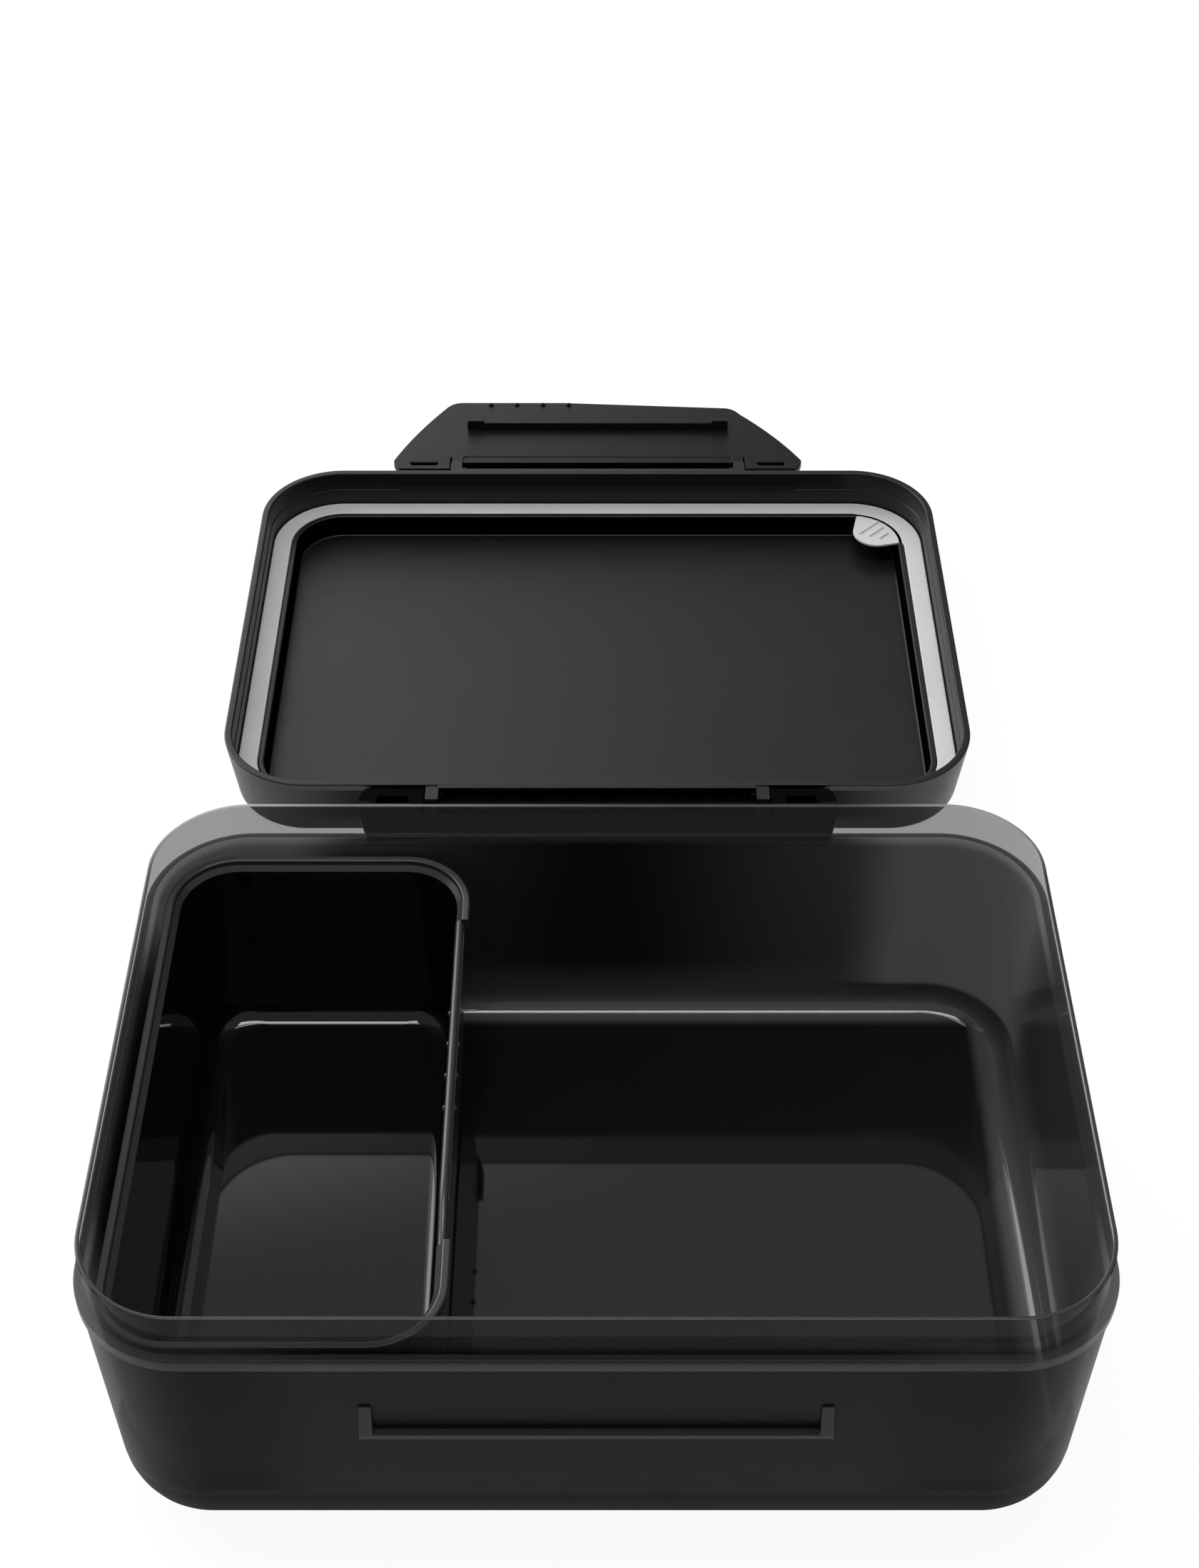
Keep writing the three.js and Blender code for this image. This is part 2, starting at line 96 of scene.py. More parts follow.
TUB_HIGH = node_box("tub")[1]
SEAL_LOW, SEAL_HIGH = node_box("seal_ring")
TRAY_LOW, TRAY_HIGH = node_box("insert_tray")
LID_Y = (SEAL_LOW.y + SEAL_HIGH.y) / 2
HINGE_Y = joint_place("front_clip_hinge").y - LID_Y
HINGE_Z = joint_place("front_clip_hinge").z

# ---- Sizes: lengths, heights above the table, and offsets from the rim's outline ----

# Tub
LEAST_R = 3
SEAL_OUTER = 0.05
RIM_X = SEAL_HIGH.x - SEAL_OUTER
RIM_Y = SEAL_HIGH.y - LID_Y - SEAL_OUTER
RIM_R = 23
TUB_TOP = TUB_HIGH.z
LEDGE_TOP = TUB_TOP - 12
LEDGE_WIDTH = 2
COLLAR_BOTTOM = LEDGE_TOP - 3.5
WALL_TOP = 1.4
DRAFT = 0.043
RIM_WALL = 1.2
TUB_WALL = WALL_TOP + RIM_WALL
TUB_FLOOR = 17.5
TUB_FILLET = 24.5
TUB_INNER_FILLET = 4.5

# Catch
CATCH_HALF = 51.5
CATCH_BOTTOM = 48.2
CATCH_BAR = 1.7
CATCH_REACH = 1.9
CATCH_END = 3.2
CATCH_TOP = 59.3
CATCH_TAPER = 0.5
CATCH_TOP_REACH = 0.4

# Lid
LID_HEIGHT = HINGE_Z + 2.4
SKIRT = 3
LID_TAPER = 0.13
SKIRT_GAP = 0.6
SKIRT_INNER_GAP = 0.35
SKIRT_STEP = LID_HEIGHT - 6.7
SEAL_FACE = 9.5
SEAL_BACK = 7.5
GROOVE_FLOOR = 7.2
SEAL_INNER = -5.95
GROOVE_INNER = -6.25
RECESS_OUTER = -7.95
LID_PANEL = 2
EAR_RADIUS = 3.6
EAR_BORE = 1.6
EAR_MOUTH = 2.3
EAR_WIDTH = 3.8
EAR_AT = 49.2
EAR_SLACK = 0.3  # between an ear and the clip beside it
EAR_INSIDE = EAR_AT - EAR_WIDTH / 2 - EAR_SLACK
EAR_OUTSIDE = EAR_AT + EAR_WIDTH / 2 + EAR_SLACK
EAR_TOP = 1.95
RIM_LIP_OUT = 1.1  # from the lid's side out to the lip's edge
RIM_LIP_DROP = 1.3  # from the lid's rim down to the lip's foot
SHELF_HALF = 68.5
SHELF_DROP = 2.3  # from the hinge line down to the shelf
SHELF_REACH = 5.4
SHELF_END = 1.45  # from the hinge line down to the shelf's raised end
SLIT_BACK_HALF = 1.6
SLIT_BACK_REACH = 4.2
POCKET_DEPTH = 2.5
POCKET_X = 26.8  # in from the lid's right side
POCKET_Y = 27.4  # in from its rear side

# Tray
TRAY_X = (TRAY_LOW.x + TRAY_HIGH.x) / 2
TRAY_RIGHT = TRAY_HIGH.x
TRAY_TOP = TRAY_HIGH.z
TRAY_BASE = TRAY_LOW.z
TRAY_R = 17
TRAY_LEAST_R = 11
TRAY_WALL = 2
TRAY_FLOOR = TRAY_BASE + 1.6
TRAY_RIM_HEIGHT = 3.2
TRAY_RIM_OUT = 1.2
DIVIDER_FROM = -46.5
DIVIDER_TO = 52
BEAD = 1.1
BEAD_LEVEL = TRAY_TOP - 2.5
DIP_TO = -28
DIP_DEPTH = 3.4
DOT_RADIUS = 0.95
DOT_LEVEL = TRAY_TOP - 4.7
DOT_FIRST = -5.3
DOT_PITCH = 9.9
DOT_REACH = 0.1  # from the wall's face in to the dot's middle


# ---- Outlines and profiles ----


def arc(centre, radius, start, end, steps):
    """Points on a circle, from one angle to another."""
    angles = [start + (end - start) * step / steps for step in range(steps + 1)]
    return [
        Vector((centre[0] + radius * math.cos(a), centre[1] + radius * math.sin(a))) for a in angles
    ]


def circle(centre, radius, count=24):
    return arc(centre, radius, 0, 2 * math.pi * (count - 1) / count, count - 1)


def rounded_rectangle(x, y, r, centre=(0, 0)):
    points = []
    for quarter, (sx, sy) in enumerate([(1, 1), (-1, 1), (-1, -1), (1, -1)]):
        middle = (centre[0] + sx * (x - r), centre[1] + sy * (y - r))
        start = quarter * math.pi / 2
        points += arc(middle, r, start, start + math.pi / 2, CORNER_STEPS)
    return points


def grown_outline(x, y, r, least, centre=(0, 0)):
    """A function that gives the outline moved out by an offset."""
    return lambda offset: rounded_rectangle(x + offset, y + offset, max(r + offset, least), centre)


tub_outline = grown_outline(RIM_X, RIM_Y, RIM_R, LEAST_R)
lid_outline = grown_outline(RIM_X, RIM_Y, RIM_R, LEAST_R, (0, LID_Y))
tray_place = (TRAY_X, 0)
tray_outline = grown_outline(TRAY_RIGHT - TRAY_X, TRAY_HIGH.y, TRAY_R, TRAY_LEAST_R, tray_place)


def softened(corners, closed=False):
    """A profile from (across, up, radius) corners, with every corner rounded to its radius.

    An open profile stops short, just past its last rounded corner: its ends only give directions.
    """
    count = len(corners)
    profile = []
    for i, (across, up, radius) in enumerate(corners):
        here = Vector((across, up))
        if radius <= 0 or (not closed and i in (0, count - 1)):
            profile.append(here)
            continue
        before = Vector(corners[i - 1][:2]) - here
        after = Vector(corners[(i + 1) % count][:2]) - here
        half = before.angle(after) / 2
        reach = min(radius / math.tan(half), EDGE_SHARE * min(before.length, after.length))
        bend = reach * math.tan(half)
        start = here + before.normalized() * reach
        end = here + after.normalized() * reach
        towards = (before.normalized() + after.normalized()).normalized()
        middle = here + towards * bend / math.sin(half)
        steps = LARGE_STEPS if radius > LARGE_RADIUS else SMALL_STEPS
        first = start - middle
        sweep = first.angle_signed(end - middle)
        for step in range(steps + 1):
            turn = Matrix.Rotation(-sweep * step / steps, 2)
            profile.append(middle + turn @ first)
    if not closed:
        for end, near in ((0, 1), (-1, -2)):
            back = profile[end] - profile[near]
            profile[end] = profile[near] + back.normalized() * min(END_LAND, back.length)
    return profile


def inset(points, by):
    """An anticlockwise outline drawn in by a distance, or a clockwise one drawn out."""
    moved = []
    for i, here in enumerate(points):
        along = (here - points[i - 1]).normalized()
        onward = (points[(i + 1) % len(points)] - here).normalized()
        left = Vector((-along.y, along.x))
        right = Vector((-onward.y, onward.x))
        moved.append(here + by * (left + right) / max(1 + left.dot(right), LEAST_SPREAD))
    return moved


# ---- Meshes ----


def mesh_piece(name, points, faces):
    """An object from points in millimetres."""
    mesh = bpy.data.meshes.new(name)
    mesh.from_pydata([Vector(point) * MM for point in points], [], faces)
    work = bmesh.new()
    work.from_mesh(mesh)
    bmesh.ops.remove_doubles(work, verts=work.verts, dist=SAME_POINT)
    bmesh.ops.recalc_face_normals(work, faces=work.faces)
    work.to_mesh(mesh)
    work.free()
    piece = bpy.data.objects.new(name, mesh)
    bpy.context.scene.collection.objects.link(piece)
    return piece


def skin(name, rings, loop=False):
    """A skin over rings of equally many points: with flat ends, or closed on itself."""
    count = len(rings[0])
    points = [point for ring in rings for point in ring]
    faces = []
    for layer in range(len(rings) if loop else len(rings) - 1):
        base = layer * count
        above = (layer + 1) % len(rings) * count
        for i in range(count):
            following = (i + 1) % count
            faces.append((base + i, base + following, above + following, above + i))
    if not loop:
        faces.append(tuple(range(count)))
        faces.append(tuple(range(len(points) - count, len(points))))
    return mesh_piece(name, points, faces)


def lofted(name, outline, corners, loop=False):
    """A solid that follows a profile of (offset, height, radius) around an outline."""
    profile = softened(corners, loop)
    rings = [[(p.x, p.y, level.y) for p in outline(level.x)] for level in profile]
    return skin(name, rings, loop)


def as_drawn(x, y, z):
    return x, y, z


def across_x(x, y, z):
    """Stands a flat shape on edge, with its thickness along X."""
    return z, x, y


def on_lid(x, y, z):
    return x, y + LID_Y, z


def slab(name, outer, holes, levels, place=as_drawn):
    """A flat piece from outlines. Each level is (height, inset), from one face to the other."""
    loops = [outer, *holes]
    points = []
    for height, drawn in levels:
        for loop in loops:
            points += [place(p.x, p.y, height) for p in inset(loop, drawn)]
    per_level = sum(len(loop) for loop in loops)
    faces = []
    for layer in range(len(levels) - 1):
        start = layer * per_level
        for loop in loops:
            for i in range(len(loop)):
                following = (i + 1) % len(loop)
                low = (start + i, start + following)
                faces.append((*low, start + following + per_level, start + i + per_level))
            start += len(loop)
    top = (len(levels) - 1) * per_level
    ends = [[p.to_3d() for p in inset(loop, levels[0][1])] for loop in loops]
    for corners in tessellate_polygon(ends):
        faces.append(tuple(corners))
        faces.append(tuple(top + corner for corner in reversed(corners)))
    return mesh_piece(name, points, faces)


def eased(low, high, edge):
    """Levels of a slab with rounded edges."""
    bend = [(edge * (1 - math.sin(a)), edge * (1 - math.cos(a))) for a in EDGE_TURNS]
    below = [(low + up, back) for back, up in bend]
    above = [(high - up, back) for back, up in reversed(bend)]
    return below + above


def block(name, low, high):
    (x0, y0, z0), (x1, y1, z1) = low, high
    outline = [Vector(p) for p in ((x0, y0), (x1, y0), (x1, y1), (x0, y1))]
    return slab(name, outline, [], [(z0, 0), (z1, 0)])


def ball(name, centre, radius, place=as_drawn):
    rings = []
    for level in range(1, BALL_LEVELS):
        tilt = math.pi * level / BALL_LEVELS
        ring = circle(centre[:2], radius * math.sin(tilt))
        rings.append([place(p.x, p.y, centre[2] - radius * math.cos(tilt)) for p in ring])
    return skin(name, rings)


def settled(piece):
    """Bakes a piece's modifiers into its mesh."""
    bpy.context.view_layer.update()
    graph = bpy.context.evaluated_depsgraph_get()
    mesh = bpy.data.meshes.new_from_object(piece.evaluated_get(graph))
    piece.modifiers.clear()
    piece.data = mesh
    return piece


def combined(kept, operation, *others):
    for other in others:
        change = kept.modifiers.new("combine", "BOOLEAN")
        change.operation = operation
        change.solver = "MANIFOLD"
        change.object = other
        settled(kept)
        bpy.data.objects.remove(other)
    return kept


def joined(kept, *others):
    return combined(kept, "UNION", *others)


def without(kept, *others):
    return combined(kept, "DIFFERENCE", *others)


def common(kept, *others):
    return combined(kept, "INTERSECT", *others)


def bevelled(piece, width):
    change = piece.modifiers.new("edges", "BEVEL")
    change.width = width * MM
    change.segments = 2
    change.limit_method = "ANGLE"
    change.angle_limit = BEVEL_FROM
    change.use_clamp_overlap = False
    return settled(piece)


def turned_copy(piece, about=(0, 0)):
    """A copy turned half round on a vertical line."""
    copy = bpy.data.objects.new(piece.name + "_turned", piece.data.copy())
    middle = Matrix.Translation((about[0] * MM, about[1] * MM, 0))
    copy.data.transform(middle @ Matrix.Rotation(math.pi, 4, "Z") @ middle.inverted())
    bpy.context.scene.collection.objects.link(copy)
    return copy


def smooth_finished(piece, body, node, slot, *materials):
    """Shades a finished piece smoothly, gives it its body and its materials, and hides its CAD
    node.
    """
    mesh = piece.data
    mesh.shade_smooth()
    mesh.set_sharp_from_angle(angle=SHARP_FROM)
    normals = piece.modifiers.new("normals", "WEIGHTED_NORMAL")
    normals.keep_sharp = True
    normals.weight = LARGE_FACES_FIRST
    mesh.materials.clear()
    for material in materials:
        mesh.materials.append(material)
    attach(piece, body)
    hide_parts(node)
    return piece


# ---- Materials ----


class Value:
    """A socket in a node tree, on which arithmetic adds Math nodes."""

    def __init__(self, plan, socket):
        self.plan = plan
        self.socket = socket

    def maths(self, operation, *values):
        sockets = dict(enumerate(values))
        return self.plan.node("ShaderNodeMath", {"operation": operation}, sockets)

    def __add__(self, other):
        return self.maths("ADD", self, other)

    def __radd__(self, other):
        return self.maths("ADD", other, self)

    def __sub__(self, other):
        return self.maths("SUBTRACT", self, other)

    def __rsub__(self, other):
        return self.maths("SUBTRACT", other, self)

    def __mul__(self, other):
        return self.maths("MULTIPLY", self, other)

    def __rmul__(self, other):
        return self.maths("MULTIPLY", other, self)

    def __truediv__(self, other):
        return self.maths("DIVIDE", self, other)

    def __rtruediv__(self, other):
        return self.maths("DIVIDE", other, self)

    def __abs__(self):
        return self.maths("ABSOLUTE", self)

    def at_least(self, least):
        return self.maths("MAXIMUM", self, least)

    def clipped(self):
        return self.maths("MINIMUM", self.at_least(0), 1)

    def stepped(self, start, end):
        """0 before start, 1 after end, and smooth between."""
        sockets = {0: self, 1: start, 2: end, 3: 0, 4: 1}
        return self.plan.node("ShaderNodeMapRange", {"interpolation_type": "SMOOTHSTEP"}, sockets)

    def past(self, start, end):
        """The same for a place on a piece, with start and end in millimetres."""
        return self.stepped(start * MM, end * MM)


class Plan:
    """The nodes of a material or of the world."""

    def __init__(self, owner):
        owner.use_nodes = True
        self.tree = owner.node_tree
        self.tree.nodes.clear()

    def node(self, kind, settings=None, sockets=None, out=0):
        made = self.tree.nodes.new(kind)
        for name, value in (settings or {}).items():
            setattr(made, name, value)
        for name, value in (sockets or {}).items():
            if isinstance(value, Value):
                self.tree.links.new(value.socket, made.inputs[name])
            else:
                made.inputs[name].default_value = value
        return Value(self, made.outputs[out]) if made.outputs else None

    def place(self, axis):
        """One coordinate of the surface in metres, fixed to the piece."""
        found = self.node("ShaderNodeTexCoord", out="Object")
        return self.node("ShaderNodeSeparateXYZ", sockets={0: found}, out=axis)

    def grain(self, scale, detail=2.0, stretch=(1, 1, 1), roughness=0.5):
        """Noise between 0 and 1. The scale is in bumps for each metre."""
        found = self.node("ShaderNodeTexCoord", out="Object")
        moved = self.node("ShaderNodeMapping", sockets={"Vector": found, "Scale": stretch})
        sockets = {"Vector": moved, "Scale": scale, "Detail": detail, "Roughness": roughness}
        return self.node("ShaderNodeTexNoise", sockets=sockets)

    def blend(self, share, first, second):
        """A colour between two colours."""
        sockets = {0: share, 6: first, 7: second}
        return self.node("ShaderNodeMix", {"data_type": "RGBA"}, sockets, out=2)

    def raised(self, height, distance, under=None):
        """A bump as deep as distance, in millimetres, on top of another bump's normal."""
        sockets = {"Height": height, "Distance": distance * MM, "Strength": 1.0}
        if under is not None:
            sockets["Normal"] = under
        return self.node("ShaderNodeBump", sockets=sockets)

    def finish(self, shader, kind="ShaderNodeOutputMaterial"):
        self.node(kind, sockets={"Surface": shader})


def grey(level, tint=0.0):
    """A near-neutral colour, slightly blue where tint is above 0."""
    return (level * (1 - tint), level, level * (1 + tint), 1.0)


# Bumps in each metre of plastic
PATCHES = 38
SPECKS = 1500
FINE_GRAIN = 5200
RUBBING = 90
WAVES = 16

LIGHTEST = 1.22  # a plastic's lightest and darkest specks, as shares of its grey level
DARKEST = 0.86
TINT = 0.02  # towards blue

# A matt black, mixed in as painted shade where no light reaches
PAINTED_SHADE_BLACK = {"Base Color": grey(0.0012), "Roughness": 0.8, "Specular IOR Level": 0.0}


def plastic(
    name,
    base,
    rough,
    specular,
    satin,
    wave=0.0,
    alpha=None,
    painted_shade=None,
    glow=None,
    painted_light_level=0.085,
):
    """Moulded plastic. satin is the depth of its fine texture, wave that of its long unevenness.

    alpha gives how much it hides over its surface, hollow the share of a matt black painted in as
    shade, for places that no light reaches, and glow the share of a lighter grey painted in as
    light.
    """
    material = bpy.data.materials.new(name)
    plan = Plan(material)
    patches = plan.grain(PATCHES, 3.0)
    specks = plan.grain(SPECKS, 2.0)
    fine = plan.grain(FINE_GRAIN, 1.0)
    light = grey(base * LIGHTEST, TINT)
    dark = grey(base * DARKEST, TINT)
    colour = plan.blend((patches * 0.6 + specks * 0.4).clipped(), dark, light)
    # Painted light: a lighter grey mixed into the colour
    if glow:
        colour = plan.blend(glow(plan), colour, grey(painted_light_level))
    rubbed = plan.grain(RUBBING, 4.0, (1, 3, 1)).stepped(0.55, 0.8)
    roughness = rough * (1 + (patches - 0.5) * 0.25) + rubbed * (rough * 0.2)
    normal = plan.raised(specks + fine * 0.6, satin)
    if wave:
        normal = plan.raised(plan.grain(WAVES, 1.0), wave, under=normal)
    sockets = {
        "Base Color": colour,
        "Roughness": roughness,
        "Specular IOR Level": specular,
        "Normal": normal,
    }
    if alpha:
        sockets["Alpha"] = alpha(plan)
    shader = plan.node("ShaderNodeBsdfPrincipled", sockets=sockets)
    # Painted shade: a matt black shader mixed in
    if painted_shade:
        black = plan.node("ShaderNodeBsdfPrincipled", sockets=PAINTED_SHADE_BLACK)
        shader = plan.node("ShaderNodeMixShader", sockets={0: painted_shade(plan), 1: shader, 2: black})
    plan.finish(shader)
    return material


# How much the tub's plastic hides
RIM_ALPHA = 0.46
WALL_ALPHA = 0.99
CORNER_LOSS = 0.17

# Shares of the painted light, a lighter grey, on the tub, and what is added to them further back
WALL_GLOW = 0.3
WALL_GLOW_REAR = 0.7
RIM_GLOW = 0.5
RIM_GLOW_REAR = 0.5
FOOT_GLOW_RIGHT = 0.9
COLLAR_GLOW = 0.2
BRIM_GLOW_LEFT = 0.3
BRIM_GLOW_CORNERS = 0.65

BEHIND_CLIPS = 0.8  # the share of painted shade, a matt black, on the lid's sides behind its clips

# Where each of these changes starts and ends, across a piece or along it
CORNER_ACROSS = (RIM_X - 53, RIM_X - 29)
CORNER_ALONG = (RIM_Y - 48.5, RIM_Y - 16.5)
WALL_GLOW_ACROSS = (0, RIM_X - 27)
WALL_GLOW_ALONG = (RIM_Y - 48.5, RIM_Y - 10.5)
RIM_GLOW_ALONG = (8.5 - RIM_Y, RIM_Y - 8.5)
FOOT_GLOW_ACROSS = (RIM_X - 12, RIM_X - 8)
FOOT_GLOW_ALONG = (RIM_Y - 11.5, RIM_Y - 7.5)
BRIM_GLOW_END = (41 - RIM_X, RIM_X - 91)  # of the left side's painted highlight
BRIM_GLOW_ACROSS = (RIM_X - 51, RIM_X - 16)
BRIM_GLOW_ALONG = (RIM_Y - 28.5, RIM_Y - 4.5)
BEHIND_CLIPS_END = (RIM_X - 45, RIM_X - 13)
LOW_EDGE = (7, 27)  # heights above the table, over which the painted shade on the tub's lower edge fades out


def tub_alpha(plan):
    """Smoky where the tub is thin: its rim passes light, its corners a little, its base none."""
    height = plan.place("Z")
    rim = height.past(COLLAR_BOTTOM + 1, LEDGE_TOP + 1.5)
    base = 1 - height.past(TUB_FLOOR, TUB_FLOOR + 7)
    corner = abs(plan.place("X")).past(*CORNER_ACROSS) * abs(plan.place("Y")).past(*CORNER_ALONG)
    wall = WALL_ALPHA - corner * CORNER_LOSS
    return (wall * (1 - rim) + rim * RIM_ALPHA + base).clipped()


def painted_wall_light(plan):
    """Painted light on the tub's inside: a lighter grey, mostly in its corners, on the inside of
    its rim and along its foot, in place of light coming through the walls and shining on them.
    """
    across, along, height = (plan.place(axis) for axis in "XYZ")
    wall = height.past(TUB_FLOOR + 2, TUB_FLOOR + 16) * abs(across).past(*WALL_GLOW_ACROSS)
    wall = wall * (WALL_GLOW + along.past(*WALL_GLOW_ALONG) * WALL_GLOW_REAR)
    rim = height.past(LEDGE_TOP - 1, LEDGE_TOP + 1)
    rim = rim * (RIM_GLOW + along.past(*RIM_GLOW_ALONG) * RIM_GLOW_REAR)
    right = across.past(*FOOT_GLOW_ACROSS) * FOOT_GLOW_RIGHT
    foot = 1 - height.past(TUB_FLOOR + 4, TUB_FLOOR + 18)
    foot = foot * (abs(along).past(*FOOT_GLOW_ALONG) + right)
    return (wall + rim + foot).clipped()


def low_painted_shade(plan):
    """Painted shade on the tub's lower edge, near the table, fading out going up."""
    return 1 - plan.place("Z").past(*LOW_EDGE)


def lid_painted_shade(plan):
    """Painted shade: matt black on the wall of the lid's recess, and on its long sides behind the
    clips.
    """
    height, across = plan.place("Z"), abs(plan.place("X"))
    along = abs(plan.place("Y") - LID_Y * MM)
    outer = along.past(RIM_Y + 0.8, RIM_Y + 1.2)
    below = 1 - height.past(LID_HEIGHT - 2.7, LID_HEIGHT - 2.4)
    ears = across.past(EAR_AT - 2.1, EAR_AT - 2.0)
    ears = ears * (1 - across.past(EAR_AT + 2.0, EAR_AT + 2.1))
    behind = outer * below * (1 - across.past(*BEHIND_CLIPS_END)) * (1 - ears) * BEHIND_CLIPS
    wall = height.past(LID_PANEL + 0.05, LID_PANEL + 0.3)
    wall = wall * (1 - height.past(SEAL_FACE - 0.6, SEAL_FACE - 0.3))
    wall = wall * (1 - across.past(RIM_X - 7.3, RIM_X - 7.0))
    wall = wall * (1 - along.past(RIM_Y - 7.3, RIM_Y - 7.0))
    return (behind + wall).clipped()


def painted_edge_light(plan):
    """Painted light: the top of the catch's bar and the collar get a lighter grey, as if lit from
    the front.
    """
    height = plan.place("Z")
    top = CATCH_BOTTOM + CATCH_BAR
    inside = CATCH_HALF - CATCH_END
    bar = height.past(top - 0.2, top) * (1 - height.past(top + 0.3, CATCH_TOP))
    bar = bar * (1 - abs(plan.place("X")).past(inside - 0.3, inside))
    collar = height.past(COLLAR_BOTTOM - 2, COLLAR_BOTTOM) * COLLAR_GLOW
    return (bar + collar).clipped()


def painted_brim_highlight(plan):
    """A painted highlight on the brim: brightest at the tub's rear corners, and brighter at its
    left than its right.
    """
    across = plan.place("X")
    left = (1 - across.past(*BRIM_GLOW_END)) * BRIM_GLOW_LEFT
    corners = abs(across).past(*BRIM_GLOW_ACROSS) * BRIM_GLOW_CORNERS
    return plan.place("Y").past(*BRIM_GLOW_ALONG) * (left + corners)


# Each has its grey level, roughness, specular level and depth of fine texture
tub_satin = plastic("tub_satin", 0.0075, 0.36, 0.05, 0.008, alpha=tub_alpha, painted_shade=low_painted_shade)
# tub_edge is a lighter copy of the tub's plastic: painted light on the catch, the ledge and the
# collar
tub_edge = plastic("tub_edge", 0.02, 0.3, 0.2, 0.004, alpha=tub_alpha, glow=painted_edge_light)
# tub_brim is lighter still: a painted highlight along the brim
tub_brim = plastic("tub_brim", 0.03, 0.2, 0.4, 0.002, glow=painted_brim_highlight, painted_light_level=0.4)
tub_polish = plastic("tub_polish", 0.006, 0.045, 0.5, 0.0006, 0.015, tub_alpha, glow=painted_wall_light)
lid_satin = plastic("lid_satin", 0.004, 0.4, 0.42, 0.003, painted_shade=lid_painted_shade)
clip_satin = plastic("clip_satin", 0.006, 0.34, 0.08, 0.006)
# A matt black, painted in as shade on a clip's faces that no light reaches
clip_painted_shade = plastic("clip_painted_shade", 0.0012, 0.8, 0.04, 0.004)
tray_gloss = plastic("tray_gloss", 0.004, 0.04, 0.5, 0.0006, 0.012)
# tray_edge is a lighter copy of the tray's plastic: painted light on its top edge, bead and dots
tray_edge = plastic("tray_edge", 0.03, 0.25, 0.5, 0.003)


# The seal's bumps in each metre, and its darkest and lightest grey
SEAL_PATCHES = 55
SEAL_DUST = 900
SEAL_FINE_GRAIN = 4200
SEAL_DARK = 0.53
SEAL_LIGHT = 0.75


def silicone():
    material = bpy.data.materials.new("seal_silicone")
    plan = Plan(material)
    patches = plan.grain(SEAL_PATCHES, 3.0)
    dust = plan.grain(SEAL_DUST, 4.0, roughness=0.7)
    share = (patches * 0.5 + dust * 0.5).clipped()
    colour = plan.blend(share, grey(SEAL_DARK), grey(SEAL_LIGHT))
    normal = plan.raised(dust + plan.grain(SEAL_FINE_GRAIN, 1.0) * 0.5, 0.012)
    sockets = {
        "Base Color": colour,
        "Roughness": 0.5 + patches * 0.18,
        "Specular IOR Level": 0.4,
        "Normal": normal,
    }
    plan.finish(plan.node("ShaderNodeBsdfPrincipled", sockets=sockets))
    return material


seal_silicone = silicone()


# ---- Tub ----


def wall_at(z):
    """Offset of the tub's wall from the rim's outline."""
    return WALL_TOP - DRAFT * (COLLAR_BOTTOM - z)


def catch_rail():
    """The catch on the front wall: a bar with its ends turned up."""
    inside = CATCH_HALF - CATCH_END
    top = CATCH_HALF - CATCH_TAPER
    bar = CATCH_BOTTOM + CATCH_BAR
    shape = [
        (-CATCH_HALF, CATCH_BOTTOM, 0.5),
        (CATCH_HALF, CATCH_BOTTOM, 0.5),
        (top, CATCH_TOP, 0.4),
        (inside, CATCH_TOP, 0.4),
        (inside, bar, 0.7),
        (-inside, bar, 0.7),
        (-inside, CATCH_TOP, 0.4),
        (-top, CATCH_TOP, 0.4),
    ]
    face = RIM_Y + wall_at(CATCH_BOTTOM) + CATCH_REACH
    root = RIM_Y + wall_at(CATCH_BOTTOM) - TUB_WALL / 2
    outline = softened(shape, closed=True)
    rail = slab("rail", outline, [], [(root, 0), (face, 0)], lambda x, y, z: (x, -z, y))
    top_face = RIM_Y + wall_at(CATCH_TOP) + CATCH_TOP_REACH
    side = [
        (root - 1, CATCH_BOTTOM - 1, 0),
        (face, CATCH_BOTTOM - 1, 0),
        (face, bar, 1.5),
        (top_face, CATCH_TOP + 0.2, 0),
        (root - 1, CATCH_TOP + 0.2, 0),
    ]
    levels = [(-CATCH_HALF - 1, 0), (CATCH_HALF + 1, 0)]
    outline = softened(side, closed=True)
    profile = slab("rail_side", outline, [], levels, lambda x, y, z: (z, -x, y))
    return bevelled(common(rail, profile), 0.25)


def make_tub():
    corners = [
        (-42, 0, 0),
        (wall_at(0), 0, TUB_FILLET),
        (WALL_TOP, COLLAR_BOTTOM, 0.25),
        (LEDGE_WIDTH, COLLAR_BOTTOM, 0.3),
        (LEDGE_WIDTH, LEDGE_TOP, 0.5),
        (0, LEDGE_TOP, 0.35),
        (0, TUB_TOP, 0.45),
        (-RIM_WALL, TUB_TOP, 0.45),
        (-RIM_WALL, COLLAR_BOTTOM, 0),
        (wall_at(TUB_FLOOR) - TUB_WALL, TUB_FLOOR, TUB_INNER_FILLET),
        (-30, TUB_FLOOR, 0),
    ]
    tub = lofted("tub_shell", tub_outline, corners)
    rail = catch_rail()
    joined(tub, turned_copy(rail), rail)
    return tub


